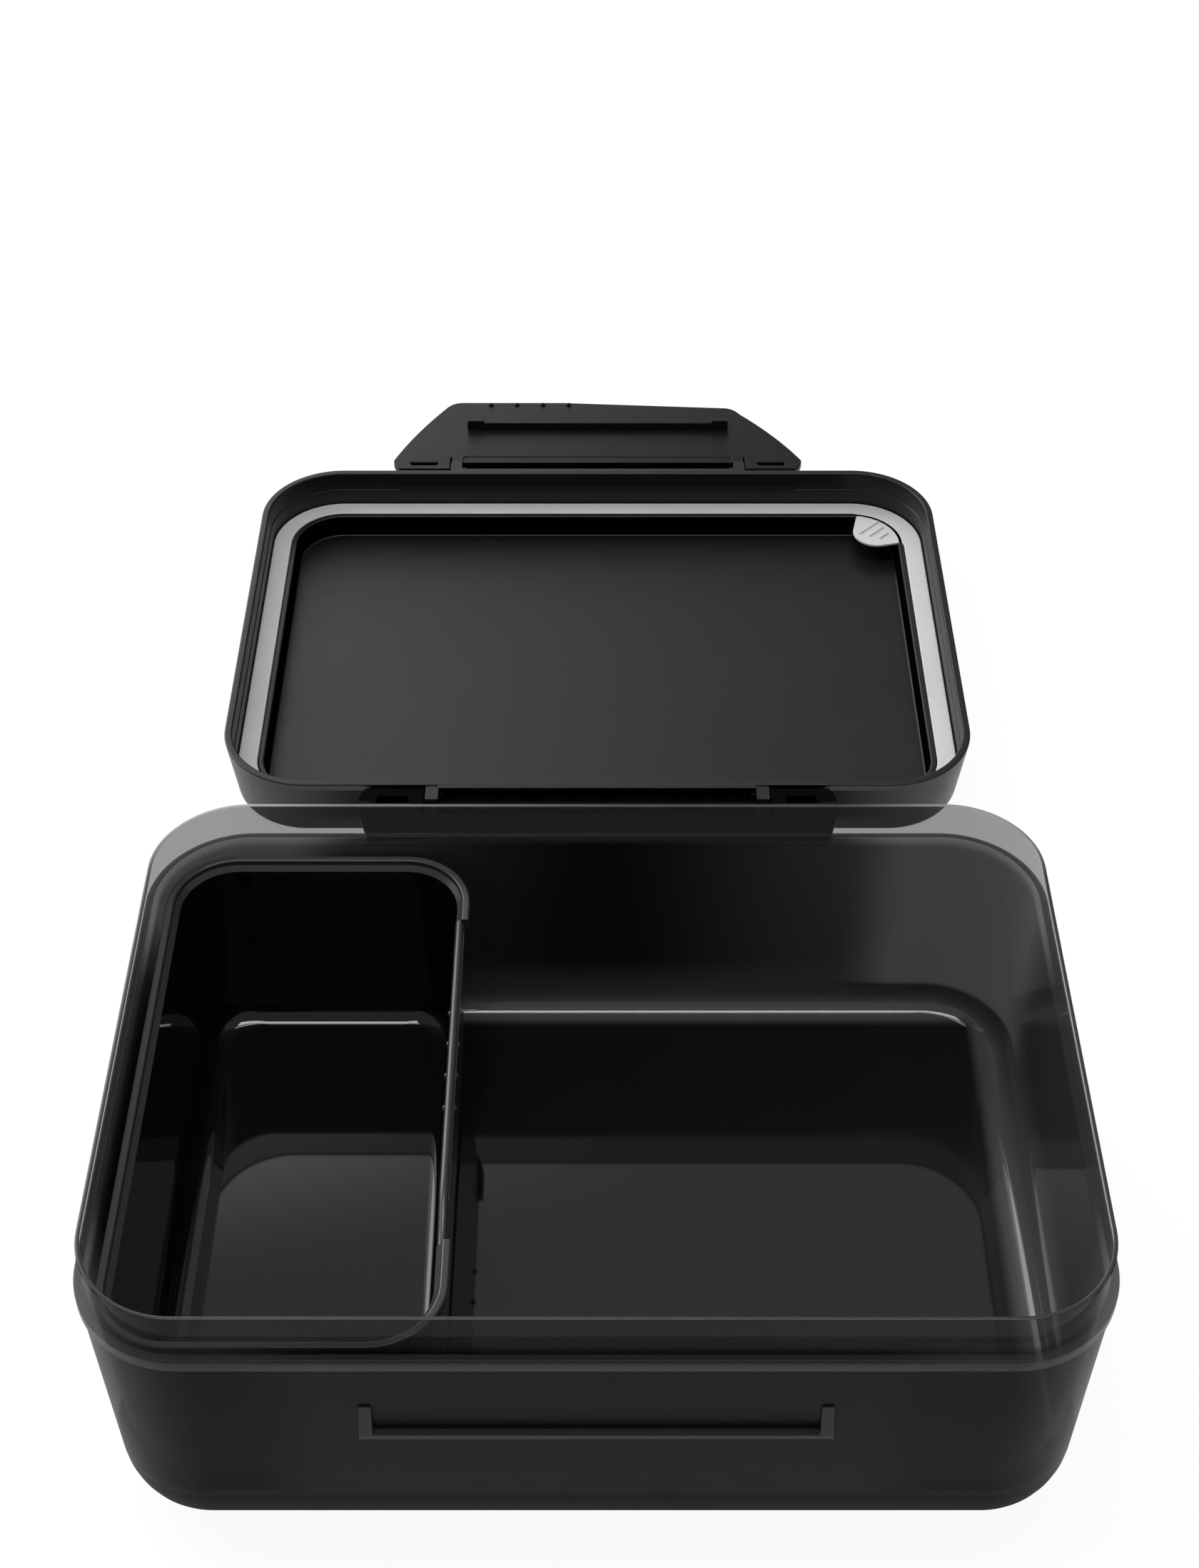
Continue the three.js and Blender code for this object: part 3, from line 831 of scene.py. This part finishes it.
def tub_finish(middle):
    """The material of one of the tub's faces, from the face's middle.

    The heights have small margins that take in, or leave out, a rounded edge.
    """
    x = max(abs(middle.x) / MM - (RIM_X - RIM_R), 0)
    y = max(abs(middle.y) / MM - (RIM_Y - RIM_R), 0)
    z = middle.z / MM
    offset = math.hypot(x, y) - RIM_R
    if z > TUB_TOP - 0.1:
        return tub_brim
    if z > TUB_FLOOR - 1 and offset < min(wall_at(z) - 0.75 * TUB_WALL, -0.8 * RIM_WALL):
        return tub_polish
    if COLLAR_BOTTOM - 0.2 < z < LEDGE_TOP + 0.1:
        return tub_edge
    if CATCH_BOTTOM - 0.4 < z < CATCH_TOP + 0.4 and offset > wall_at(z) + 0.12:
        return tub_edge
    return tub_satin


tub = make_tub()
finishes = (tub_satin, tub_polish, tub_edge, tub_brim)
smooth_finished(tub, "tub", "tub", "tub_plastic", *finishes)
for polygon in tub.data.polygons:
    polygon.material_index = finishes.index(tub_finish(polygon.center))


# ---- Lid ----


def ear(x):
    """A C-shaped ear for a clip's rod, on the lid's far side."""
    outer = math.asin(EAR_MOUTH / 2 / EAR_RADIUS)
    inner = math.asin(EAR_MOUTH / 2 / EAR_BORE)
    down = 1.5 * math.pi
    centre = (LID_Y + HINGE_Y, HINGE_Z)
    around = arc(centre, EAR_RADIUS, outer - math.pi / 2, down - outer, 32)
    bore = arc(centre, EAR_BORE, down - inner, inner - math.pi / 2, 24)
    span = (x - EAR_WIDTH / 2, x + EAR_WIDTH / 2)
    body = slab("ear", around + bore, [], eased(*span, 0.3), across_x)
    low = (span[0] - 1, centre[0] - 2 * EAR_RADIUS, centre[1] + EAR_TOP)
    high = (span[1] + 1, centre[0] + 2 * EAR_RADIUS, centre[1] + 2 * EAR_RADIUS)
    return without(body, block("ear_top", low, high))


def rim_lip():
    """A narrow lip on the lid's rim between its ears."""
    half = EAR_AT - EAR_WIDTH / 2 + 0.2
    y = LID_Y + RIM_Y
    low = (-half, y + SKIRT_GAP + 0.6, LID_HEIGHT - RIM_LIP_DROP)
    high = (half, y + SKIRT + RIM_LIP_OUT, LID_HEIGHT - 0.15)
    return bevelled(block("rim_lip", low, high), 0.3)


def pocket_cut():
    """A pocket for a fingertip under the pull tab."""
    edge = SKIRT_INNER_GAP + 0.01
    corners = [(edge, GROOVE_FLOOR - POCKET_DEPTH, 0.5), (edge, 12, 0)]
    room = lofted("pocket", lid_outline, corners)
    right = RIM_X + SKIRT
    rear = RIM_Y + SKIRT
    shape = [
        (right - POCKET_X, rear - POCKET_Y, 1.6),
        (right, rear - POCKET_Y, 1.0),
        (right, rear, 1.0),
        (right - POCKET_X, rear, 1.0),
    ]
    outline = [p + Vector((0, LID_Y)) for p in softened(shape, closed=True)]
    return common(room, slab("pocket_plan", outline, [], [(0, 0), (LID_HEIGHT, 0)]))


def hinge_shelf():
    """A ledge on the lid's far side that closes the clip's long window from below."""
    inner = LID_Y + RIM_Y + SKIRT - LID_TAPER * LID_HEIGHT
    end = LID_Y + HINGE_Y + SHELF_REACH
    top = HINGE_Z - SHELF_DROP
    ridge = HINGE_Z - SHELF_END
    side = [
        (inner, top - 1.6, 0),
        (end, top - 1.2, 0.4),
        (end, ridge, 0.2),
        (end - 1.2, ridge, 0.2),
        (end - 1.4, top, 0.2),
        (inner, top, 0),
    ]
    levels = [(-SHELF_HALF, 0), (SHELF_HALF, 0)]
    shelf = slab("shelf", softened(side, closed=True), [], levels, across_x)
    backs = []
    for x in (-EAR_OUTSIDE, EAR_OUTSIDE):
        low = (x - SLIT_BACK_HALF, end - 1, top - 1.1)
        high = (x + SLIT_BACK_HALF, end + SLIT_BACK_REACH, top + 0.1)
        backs.append(block("slit_back", low, high))
    return joined(shelf, *backs)


def make_lid():
    foot = RECESS_OUTER - 0.08 * (SEAL_FACE - LID_PANEL)
    corners = [
        (-45, 0, 0),
        (SKIRT - LID_TAPER * LID_HEIGHT, 0, 2.5),
        (SKIRT, LID_HEIGHT, 0.5),
        (SKIRT_GAP, LID_HEIGHT, 0.5),
        (SKIRT_GAP, SKIRT_STEP + 0.25, 0.1),
        (SKIRT_INNER_GAP, SKIRT_STEP, 0.1),
        (SKIRT_INNER_GAP, GROOVE_FLOOR, 0.2),
        (GROOVE_INNER, GROOVE_FLOOR, 0.2),
        (GROOVE_INNER, SEAL_FACE, 0.3),
        (RECESS_OUTER, SEAL_FACE, 0.45),
        (foot, LID_PANEL, 0.7),
        (-40, LID_PANEL, 0),
    ]
    lid = lofted("lid_shell_body", lid_outline, corners)
    ears = [ear(-EAR_AT), ear(EAR_AT), hinge_shelf(), rim_lip()]
    joined(lid, *[turned_copy(one, (0, LID_Y)) for one in ears], *ears)
    return without(lid, pocket_cut())


lid = make_lid()
smooth_finished(lid, "lid", "lid_shell", "lid_plastic", lid_satin)


# ---- Seal ----

TAB_RADIUS = 7.8
TAB_THICKNESS = 0.9
TAB_RIBS = (10.4, 7.6, 4.8)
TAB_RIB_PITCH = 3.3
TAB_NECK_FILLET = 1.5
TAB_X = RIM_X + SKIRT - 18
TAB_Y = RIM_Y + SKIRT - 19.8
NECK_X = RIM_X + SKIRT - 23  # where the tab's neck starts on the band's rear side
NECK_Y = RIM_Y + SKIRT - 25  # and on its right side
RIB_HALF = 0.6
RIB_LEVELS = ((-0.3, 0), (0.2, 0.04), (0.4, 0.16), (0.5, 0.4))
tab_centre = Vector((TAB_X, TAB_Y))
band_corner = Vector((RIM_X - RIM_R, RIM_Y - RIM_R))


def tangent_point(root, turn):
    """Where a straight side from root meets the tab's round end."""
    away = root - tab_centre
    angle = math.atan2(away.y, away.x) + turn * math.acos(TAB_RADIUS / away.length)
    return angle, tab_centre + TAB_RADIUS * Vector((math.cos(angle), math.sin(angle)))


def neck_fillet(root, touch, turn):
    """Rounds the corner between the band's inner edge and a side of the tab's neck."""
    reach = RIM_R + SEAL_INNER
    along = (touch - root).normalized()
    away = turn * Vector((-along.y, along.x))
    start = root + away * TAB_NECK_FILLET - band_corner
    half = start.dot(along)
    room = half * half - start.length_squared + (reach - TAB_NECK_FILLET) ** 2
    centre = band_corner + start + along * (-half - math.sqrt(room))
    other = band_corner + start + along * (-half + math.sqrt(room))
    centre = min(centre, other, key=lambda c: (c - root).length)
    on_band = band_corner + (centre - band_corner).normalized() * reach
    on_side = centre - away * TAB_NECK_FILLET
    first = on_band - centre
    sweep = first.angle_signed(on_side - centre)
    return [centre + Matrix.Rotation(-sweep * step / 6, 2) @ first for step in range(7)]


def tab_outline():
    middle = RIM_R + (SEAL_OUTER + SEAL_INNER) / 2
    far = math.acos((NECK_X - band_corner.x) / middle)
    near = math.asin((NECK_Y - band_corner.y) / middle)
    band = arc(band_corner, middle, near, far, 16)
    start, start_touch = tangent_point(band[-1], 1)
    end, end_touch = tangent_point(band[0], -1)
    far_neck = neck_fillet(band[-1], start_touch, -1)
    near_neck = neck_fillet(band[0], end_touch, 1)
    while end < start:
        end += 2 * math.pi
    around = arc(tab_centre, TAB_RADIUS, start, end, 40)
    return band + far_neck + around + near_neck[::-1]


def tab_rib(length, across):
    """A raised rib with soft ends, on the slant."""
    end = length / 2 - RIB_HALF
    outline = arc((end, 0), RIB_HALF, -math.pi / 2, math.pi / 2, 8)
    outline += arc((-end, 0), RIB_HALF, math.pi / 2, 1.5 * math.pi, 8)
    turn = Matrix.Rotation(math.pi / 4, 2)
    middle = tab_centre + turn @ Vector((0, across))
    outline = [middle + turn @ point for point in outline]
    levels = [(SEAL_FACE + height, drawn) for height, drawn in RIB_LEVELS]
    return slab("rib", outline, [], levels, on_lid)


def make_seal():
    corners = [
        (SEAL_OUTER, SEAL_BACK, 0.2),
        (SEAL_OUTER, SEAL_FACE, 0.5),
        (SEAL_INNER, SEAL_FACE, 0.35),
        (SEAL_INNER, SEAL_BACK, 0.2),
    ]
    band = lofted("seal_band", lid_outline, corners, loop=True)
    levels = eased(SEAL_FACE - TAB_THICKNESS, SEAL_FACE, 0.22)
    tab = slab("tab", tab_outline(), [], levels, on_lid)
    ribs = [tab_rib(length, (1 - i) * TAB_RIB_PITCH) for i, length in enumerate(TAB_RIBS)]
    return joined(band, tab, *ribs)


seal = make_seal()
smooth_finished(seal, "seal", "seal_ring", "seal_silicone", seal_silicone)


# ---- Clips, each made flat with its hinge line on X and its free edge in +Y ----

PLATE = 2
PLATE_FACE = 1.8
ROD_RADIUS = 1.3
KNUCKLE = 1.8
HINGE_START = -1.9
PAD_END = 8.7
PAD_DROP = 0.3
HINGE_HALF = 69
CLIP_WIDE = 71.4
WIDE_AT = 5.4
FREE_CORNER = (6, 5.6)  # how far a free corner's bend reaches along the free edge and the side
FREE_CORNER_PULL = 3.8
BELLY = (0.37, 0.46)  # shares of a side's taper and length, where its bow is drawn to
NUB_RADIUS = 1.05
NUB_HEIGHT = 0.9
NUB_INSET = 2.4
NUB_FIRST = -39.2
NUB_PITCH = 9.5
NUB_SIDE = (49.7, 56.7)
PLAIN_SIDE = (45.8, 51.8)
SLANT_START = -12.7
SLIT_END = 7.8
WINDOW_DEPTH = 3.8
NEAR_WINDOW_DEPTH = WINDOW_DEPTH - 1.1
WING_WINDOW = (0.95, 3.5)  # its near and far edges, from the hinge line
WING_NEAR = (56.2, 65.0)
WING_FAR = (55.5, 65.7)
PIN_GAP = (55.4, 65.8)
CATCH_FACE = 31.8
LIP_HALF = 46.8
LIP_TOP = 1.8
LIP_FOOT = 4.4
LIP_BLOCK = 5.9
BLOCK_HEIGHT = 3.38
LIP_STEP = 0.8
DROOP = math.radians(10.5)


def bowed(start, pull, end, steps=12):
    """Points on a quadratic curve, without its first."""
    start, pull, end = Vector(start), Vector(pull), Vector(end)
    shares = [(step + 1) / steps for step in range(steps)]
    return [start * (1 - t) ** 2 + pull * 2 * t * (1 - t) + end * t * t for t in shares]


def clip_side(sign, edge, depth):
    """A clip's bowed side and free corner, from the hinge line to the free edge."""
    wide = (sign * CLIP_WIDE, WIDE_AT)
    start = (sign * (edge + FREE_CORNER[0]), depth - FREE_CORNER[1])
    taper = CLIP_WIDE - edge - FREE_CORNER[0]
    belly = (sign * (CLIP_WIDE - taper * BELLY[0]), (WIDE_AT + depth) * BELLY[1])
    pull = (sign * (edge + FREE_CORNER_PULL), depth)
    foot = (sign * HINGE_HALF, HINGE_START)
    points = [Vector(foot)] + bowed(foot, (sign * CLIP_WIDE, WIDE_AT / 5), wide, 6)
    points += bowed(wide, belly, start, 20)
    return points + bowed(start, pull, (sign * edge, depth), 12)


def hinge_edge(window):
    """The hinge side of a clip, from left to right: slits, ear gaps and the long window."""
    half = [
        (EAR_OUTSIDE, HINGE_START, 0.2),
        (EAR_OUTSIDE + 0.25, SLIT_END, 0.2),
        (EAR_OUTSIDE - 0.25, SLIT_END, 0.2),
        (EAR_OUTSIDE - 0.5, WINDOW_DEPTH, 0.2),
        (EAR_INSIDE, WINDOW_DEPTH, 0.2),
        (EAR_INSIDE - 0.3, window, 0.3),
    ]
    if window == WINDOW_DEPTH:
        half = half[:-2]
    left = [(-x, y, r) for x, y, r in half]
    ends = [(sign * HINGE_HALF, HINGE_START, 0) for sign in (-1, 1)]
    corners = [ends[0], *left, *half[::-1], ends[1]]
    return softened(corners)[1:-1]


def wing_window(sign):
    near, far = WING_WINDOW
    corners = [(WING_NEAR[0], near), (WING_NEAR[1], near), (WING_FAR[1], far), (WING_FAR[0], far)]
    points = softened([(sign * x, y, 0.6) for x, y in corners], closed=True)
    return points if sign < 0 else points[::-1]


def lip_part(start, end, height):
    """A length of the lip that hooks under the tub's catch."""
    foot = PLATE_FACE - PLATE / 4
    top = PLATE_FACE + height
    corners = [
        (CATCH_FACE, foot, 0),
        (CATCH_FACE + LIP_FOOT, foot, 0),
        (CATCH_FACE + LIP_TOP, top, 0.45),
        (CATCH_FACE, top, 0.3),
    ]
    outline = softened(corners, closed=True)
    return slab("lip", outline, [], eased(start, end, 0.25), across_x)


def grip_nub(x):
    centre = (x, NUB_SIDE[1] - NUB_INSET, PLATE_FACE - NUB_RADIUS + NUB_HEIGHT)
    return ball("nub", centre, NUB_RADIUS)


def hinge_pin(side):
    """A pin through one of the lid's ears, with a thick knuckle outside the ear."""
    stations = [
        (EAR_INSIDE - 1.2, ROD_RADIUS - 0.3),
        (EAR_INSIDE - 0.9, ROD_RADIUS),
        (EAR_OUTSIDE, ROD_RADIUS),
        (EAR_OUTSIDE, KNUCKLE - 0.2),
        (EAR_OUTSIDE + 0.2, KNUCKLE),
        (HINGE_HALF - 0.5, KNUCKLE),
        (HINGE_HALF, KNUCKLE - 0.5),
    ]
    rings = []
    for x, radius in stations:
        rings.append([(side * x, p.x, p.y) for p in circle((0, 0), radius, 36)])
    left, right = sorted(side * x for x in PIN_GAP)
    low = (left, WING_WINDOW[0], -3)
    high = (right, WING_WINDOW[1], 3)
    return without(skin("pin", rings), block("pin_gap", low, high))


def pad_cut():
    """The pad beside the long window lies a little lower than the rest of the plate."""
    corners = [
        (-EAR_INSIDE, -3, 0),
        (EAR_INSIDE, -3, 0),
        (EAR_INSIDE, PAD_END, 1.2),
        (-EAR_INSIDE, PAD_END, 1.2),
    ]
    outline = softened(corners, closed=True)
    flare = PAD_DROP + 0.05
    levels = [(PLATE_FACE - PAD_DROP, 0), (PLATE_FACE + 0.05, -flare), (2 * PLATE, -flare)]
    return slab("pad", outline, [], levels)


def dark_faces(clip, far):
    """The faces of a clip that get painted shade, where no light reaches: in its windows, and at a
    near clip's hinge.
    """
    found = []
    for polygon in clip.data.polygons:
        x, y, z = abs(polygon.center.x) / MM, polygon.center.y / MM, polygon.center.z / MM
        edge = x < EAR_INSIDE and y < WINDOW_DEPTH + 0.1
        wing = PIN_GAP[0] - 0.4 < x < PIN_GAP[1] + 0.4
        wing = wing and WING_WINDOW[0] - 0.1 < y < WING_WINDOW[1] + 0.1
        hinge = not far and x > EAR_INSIDE and y < WING_WINDOW[1]
        if ((edge or wing) and z < PLATE_FACE - 0.25) or hinge:
            found.append(polygon.index)
    return found


def make_clip(name, window):
    right = clip_side(1, *PLAIN_SIDE)
    left = clip_side(-1, *NUB_SIDE)
    outline = hinge_edge(window) + right + [Vector((SLANT_START, NUB_SIDE[1]))] + left[::-1]
    holes = [wing_window(-1), wing_window(1)]
    plate = slab(name, outline, holes, eased(PLATE_FACE - PLATE, PLATE_FACE, 0.3))
    without(plate, pad_cut())
    nubs = [grip_nub(NUB_FIRST + i * NUB_PITCH) for i in range(4)]
    lips = [
        lip_part(-LIP_HALF + 0.5, LIP_HALF - 0.5, BLOCK_HEIGHT - LIP_STEP),
        lip_part(-LIP_HALF, LIP_BLOCK - LIP_HALF, BLOCK_HEIGHT),
        lip_part(LIP_HALF - LIP_BLOCK, LIP_HALF, BLOCK_HEIGHT),
    ]
    return joined(plate, hinge_pin(-1), hinge_pin(1), *lips, *nubs)


def hung(clip, half_turn):
    """Puts a clip on its hinge line, spread out from the lid."""
    to_hinge = Matrix.Translation((0, HINGE_Y * MM, HINGE_Z * MM))
    around = Matrix.Rotation(math.pi if half_turn else 0, 4, "Z")
    to_lid = Matrix.Translation((0, LID_Y * MM, 0))
    clip.data.transform(to_lid @ around @ to_hinge @ Matrix.Rotation(-DROOP, 4, "X"))
    return clip


far_clip = make_clip("clip_far", WINDOW_DEPTH)
near_clip = make_clip("clip_near", NEAR_WINDOW_DEPTH)
for clip, node, far in ((far_clip, "front_clip", True), (near_clip, "rear_clip", False)):
    dark = dark_faces(clip, far)
    hung(clip, not far)
    smooth_finished(clip, node, node, "clip_plastic", clip_satin, clip_painted_shade)
    # These faces get the clip's painted shade, a matt black
    for index in dark:
        clip.data.polygons[index].material_index = 1


# ---- Tray ----


def tray_face(z):
    """Offset of the tray's outer wall below its rim."""
    return -TRAY_RIM_OUT - DRAFT * (TRAY_TOP - z)


def bead_height(y):
    """The bead runs level and dips at its front end."""
    share = min(max((y - DIVIDER_FROM) / (DIP_TO - DIVIDER_FROM), 0), 1)
    return BEAD_LEVEL - DIP_DEPTH * (1 - share * share * (3 - 2 * share))


def bead_stations():
    dip = [DIVIDER_FROM + (DIP_TO - DIVIDER_FROM) * i / 20 for i in range(21)]
    return [DIVIDER_FROM - 1, *dip, DIVIDER_TO + 1]


def divider_bead(x):
    rings = []
    for y in bead_stations():
        rings.append([(p.x, y, p.y) for p in circle((x, bead_height(y)), BEAD)])
    return skin("bead", rings)


def divider_cuts():
    stations = [DIVIDER_FROM, *bead_stations()[2:-1], DIVIDER_TO]
    outline = [Vector((y, bead_height(y))) for y in stations]
    outline += [Vector((DIVIDER_TO, TRAY_TOP + 1)), Vector((DIVIDER_FROM, TRAY_TOP + 1))]
    levels = [(TRAY_RIGHT - 3 * TRAY_WALL, 0), (TRAY_RIGHT + TRAY_WALL, 0)]
    above = slab("above_bead", outline, [], levels, across_x)
    low = (TRAY_RIGHT - TRAY_RIM_OUT, DIVIDER_FROM, TRAY_TOP - TRAY_RIM_HEIGHT - TRAY_RIM_OUT)
    high = (TRAY_RIGHT + TRAY_WALL, DIVIDER_TO, TRAY_TOP + 1)
    return above, block("beside_bead", low, high)


def dot(x, y):
    return ball("dot", (y, DOT_LEVEL, x), DOT_RADIUS, across_x)


def make_tray():
    foot = TRAY_TOP - TRAY_RIM_HEIGHT
    step = foot + 0.6
    corners = [
        (-20, TRAY_BASE, 0),
        (tray_face(TRAY_BASE), TRAY_BASE, 7),
        (tray_face(foot), foot, 0.15),
        (0, foot, 0.3),
        (0, TRAY_TOP, 0.5),
        (-TRAY_WALL, TRAY_TOP, 0.5),
        (-TRAY_WALL, step + TRAY_RIM_OUT, 0.2),
        (tray_face(step) - TRAY_WALL, step, 0.2),
        (tray_face(TRAY_FLOOR) - TRAY_WALL, TRAY_FLOOR, 5),
        (-20, TRAY_FLOOR, 0),
    ]
    tray = lofted("tray", tray_outline, corners)
    without(tray, *divider_cuts())
    face = TRAY_RIGHT + tray_face(DOT_LEVEL)
    sides = (face - DOT_REACH, face - TRAY_WALL + DOT_REACH)
    dots = [dot(x, DOT_FIRST + i * DOT_PITCH) for i in range(4) for x in sides]
    return joined(tray, divider_bead(face - TRAY_WALL / 2), *dots)


tray = make_tray()
smooth_finished(tray, "insert", "insert_tray", "tray_plastic", tray_gloss, tray_edge)
# Faces near the tray's top get the lighter copy, painted light
for polygon in tray.data.polygons:
    polygon.material_index = 1 if polygon.center.z > (BEAD_LEVEL - DIP_DEPTH - 0.4) * MM else 0


# ---- Floor, light and camera, in metres ----

SEEN_RAYS = ("Is Camera Ray", "Is Glossy Ray", "Is Transmission Ray")
FLOOR_HALF = 4
FLOOR_WHITE = 1.06
FLOOR_SHARE = 0.88  # of plain white in the floor, where the rest takes the shadow
FLOOR_DARK = 0.78
FLOOR_LIGHT = 0.82
ROOM_LIGHT = 0.35
REAR_LIGHT = 0.22
PANEL_LIGHT = 1.35
PANEL_SHADE = 0.42

# Soft edges in the room, for a direction of length 1: its Y at the rear half, then its X over Y
# at the side of the panel and of the shade, and its Z at their top
REAR_FROM = (0.0, 0.25)
PANEL_SIDE = (-0.22, 0.065)
PANEL_TOP = (0.745, 0.80)
SHADE_SIDE = (-0.02, 0.13)
SHADE_TOP = (0.66, 0.74)

LIGHT_TARGET = Vector((0, 0.1, 0))
CAMERA_PLACE = (0.00066, -0.3725, 0.505)
CAMERA_TILT = 0.737  # below the horizon
CAMERA_LENS = 55.44
SENSOR = 36


def white_floor():
    """A pale floor that stays white around the object and keeps its soft shadow."""
    material = bpy.data.materials.new("pale_floor")
    plan = Plan(material)
    direct, glossy, through = (plan.node("ShaderNodeLightPath", out=name) for name in SEEN_RAYS)
    seen = (direct + glossy + through).clipped()
    haze = plan.grain(3.0, 1.0)
    shade = plan.blend(haze, grey(FLOOR_DARK), grey(FLOOR_LIGHT))
    soft = plan.node("ShaderNodeBsdfDiffuse", sockets={"Color": shade})
    white = {"Color": grey(1.0), "Strength": FLOOR_WHITE}
    glow = plan.node("ShaderNodeEmission", sockets=white)
    mixed = {0: seen * FLOOR_SHARE, 1: soft, 2: glow}
    plan.finish(plan.node("ShaderNodeMixShader", sockets=mixed))
    return material


floor_corners = [
    (x * FLOOR_HALF / MM, y * FLOOR_HALF / MM, cad_box[0][2] / MM)
    for x, y in ((-1, -1), (1, -1), (1, 1), (-1, 1))
]
floor = mesh_piece("floor", floor_corners, [(0, 1, 2, 3)])
floor.data.materials.append(white_floor())


def studio_world():
    """A dim room with a bright panel at its rear left, seen as white by the camera."""
    world = bpy.data.worlds.new("studio")
    bpy.context.scene.world = world
    plan = Plan(world)
    towards = plan.node("ShaderNodeTexCoord", out="Generated")
    x, y, z = (
        plan.node("ShaderNodeSeparateXYZ", sockets={0: towards}, out=axis) for axis in "XYZ"
    )
    aside = x / y.at_least(0.05)
    rear = y.stepped(*REAR_FROM)
    panel = (1 - aside.stepped(*PANEL_SIDE)) * (1 - z.stepped(*PANEL_TOP)) * PANEL_LIGHT
    dark = aside.stepped(*SHADE_SIDE) * (1 - z.stepped(*SHADE_TOP)) * PANEL_SHADE
    level = ROOM_LIGHT + rear * (REAR_LIGHT + panel - dark)
    seen = plan.node("ShaderNodeLightPath", out="Is Camera Ray")
    strength = level * (1 - seen) + seen
    glow = plan.node("ShaderNodeBackground", sockets={"Color": grey(1.0), "Strength": strength})
    plan.finish(glow, "ShaderNodeOutputWorld")


studio_world()


def softbox(name, place, size, watts):
    lamp = bpy.data.lights.new(name, "AREA")
    lamp.shape = "RECTANGLE"
    lamp.size, lamp.size_y = size
    lamp.energy = watts
    box = bpy.data.objects.new(name, lamp)
    box.location = place
    box.rotation_euler = (LIGHT_TARGET - Vector(place)).to_track_quat("-Z", "Y").to_euler()
    bpy.context.scene.collection.objects.link(box)


softbox("overhead", (0.0, 0.05, 1.6), (0.9, 0.3), 8.0)
softbox("side", (-1.25, 1.05, 1.05), (1.1, 1.1), 12.0)

camera_data = bpy.data.cameras.new("camera")
camera_data.sensor_fit = "VERTICAL"
camera_data.sensor_height = SENSOR
camera_data.sensor_width = SENSOR
camera_data.lens = CAMERA_LENS
camera = bpy.data.objects.new("camera", camera_data)
camera.location = CAMERA_PLACE
camera.rotation_euler = (math.pi / 2 - CAMERA_TILT, 0, 0)
bpy.context.scene.collection.objects.link(camera)
bpy.context.scene.camera = camera
bpy.context.scene.view_settings.view_transform = "Standard"
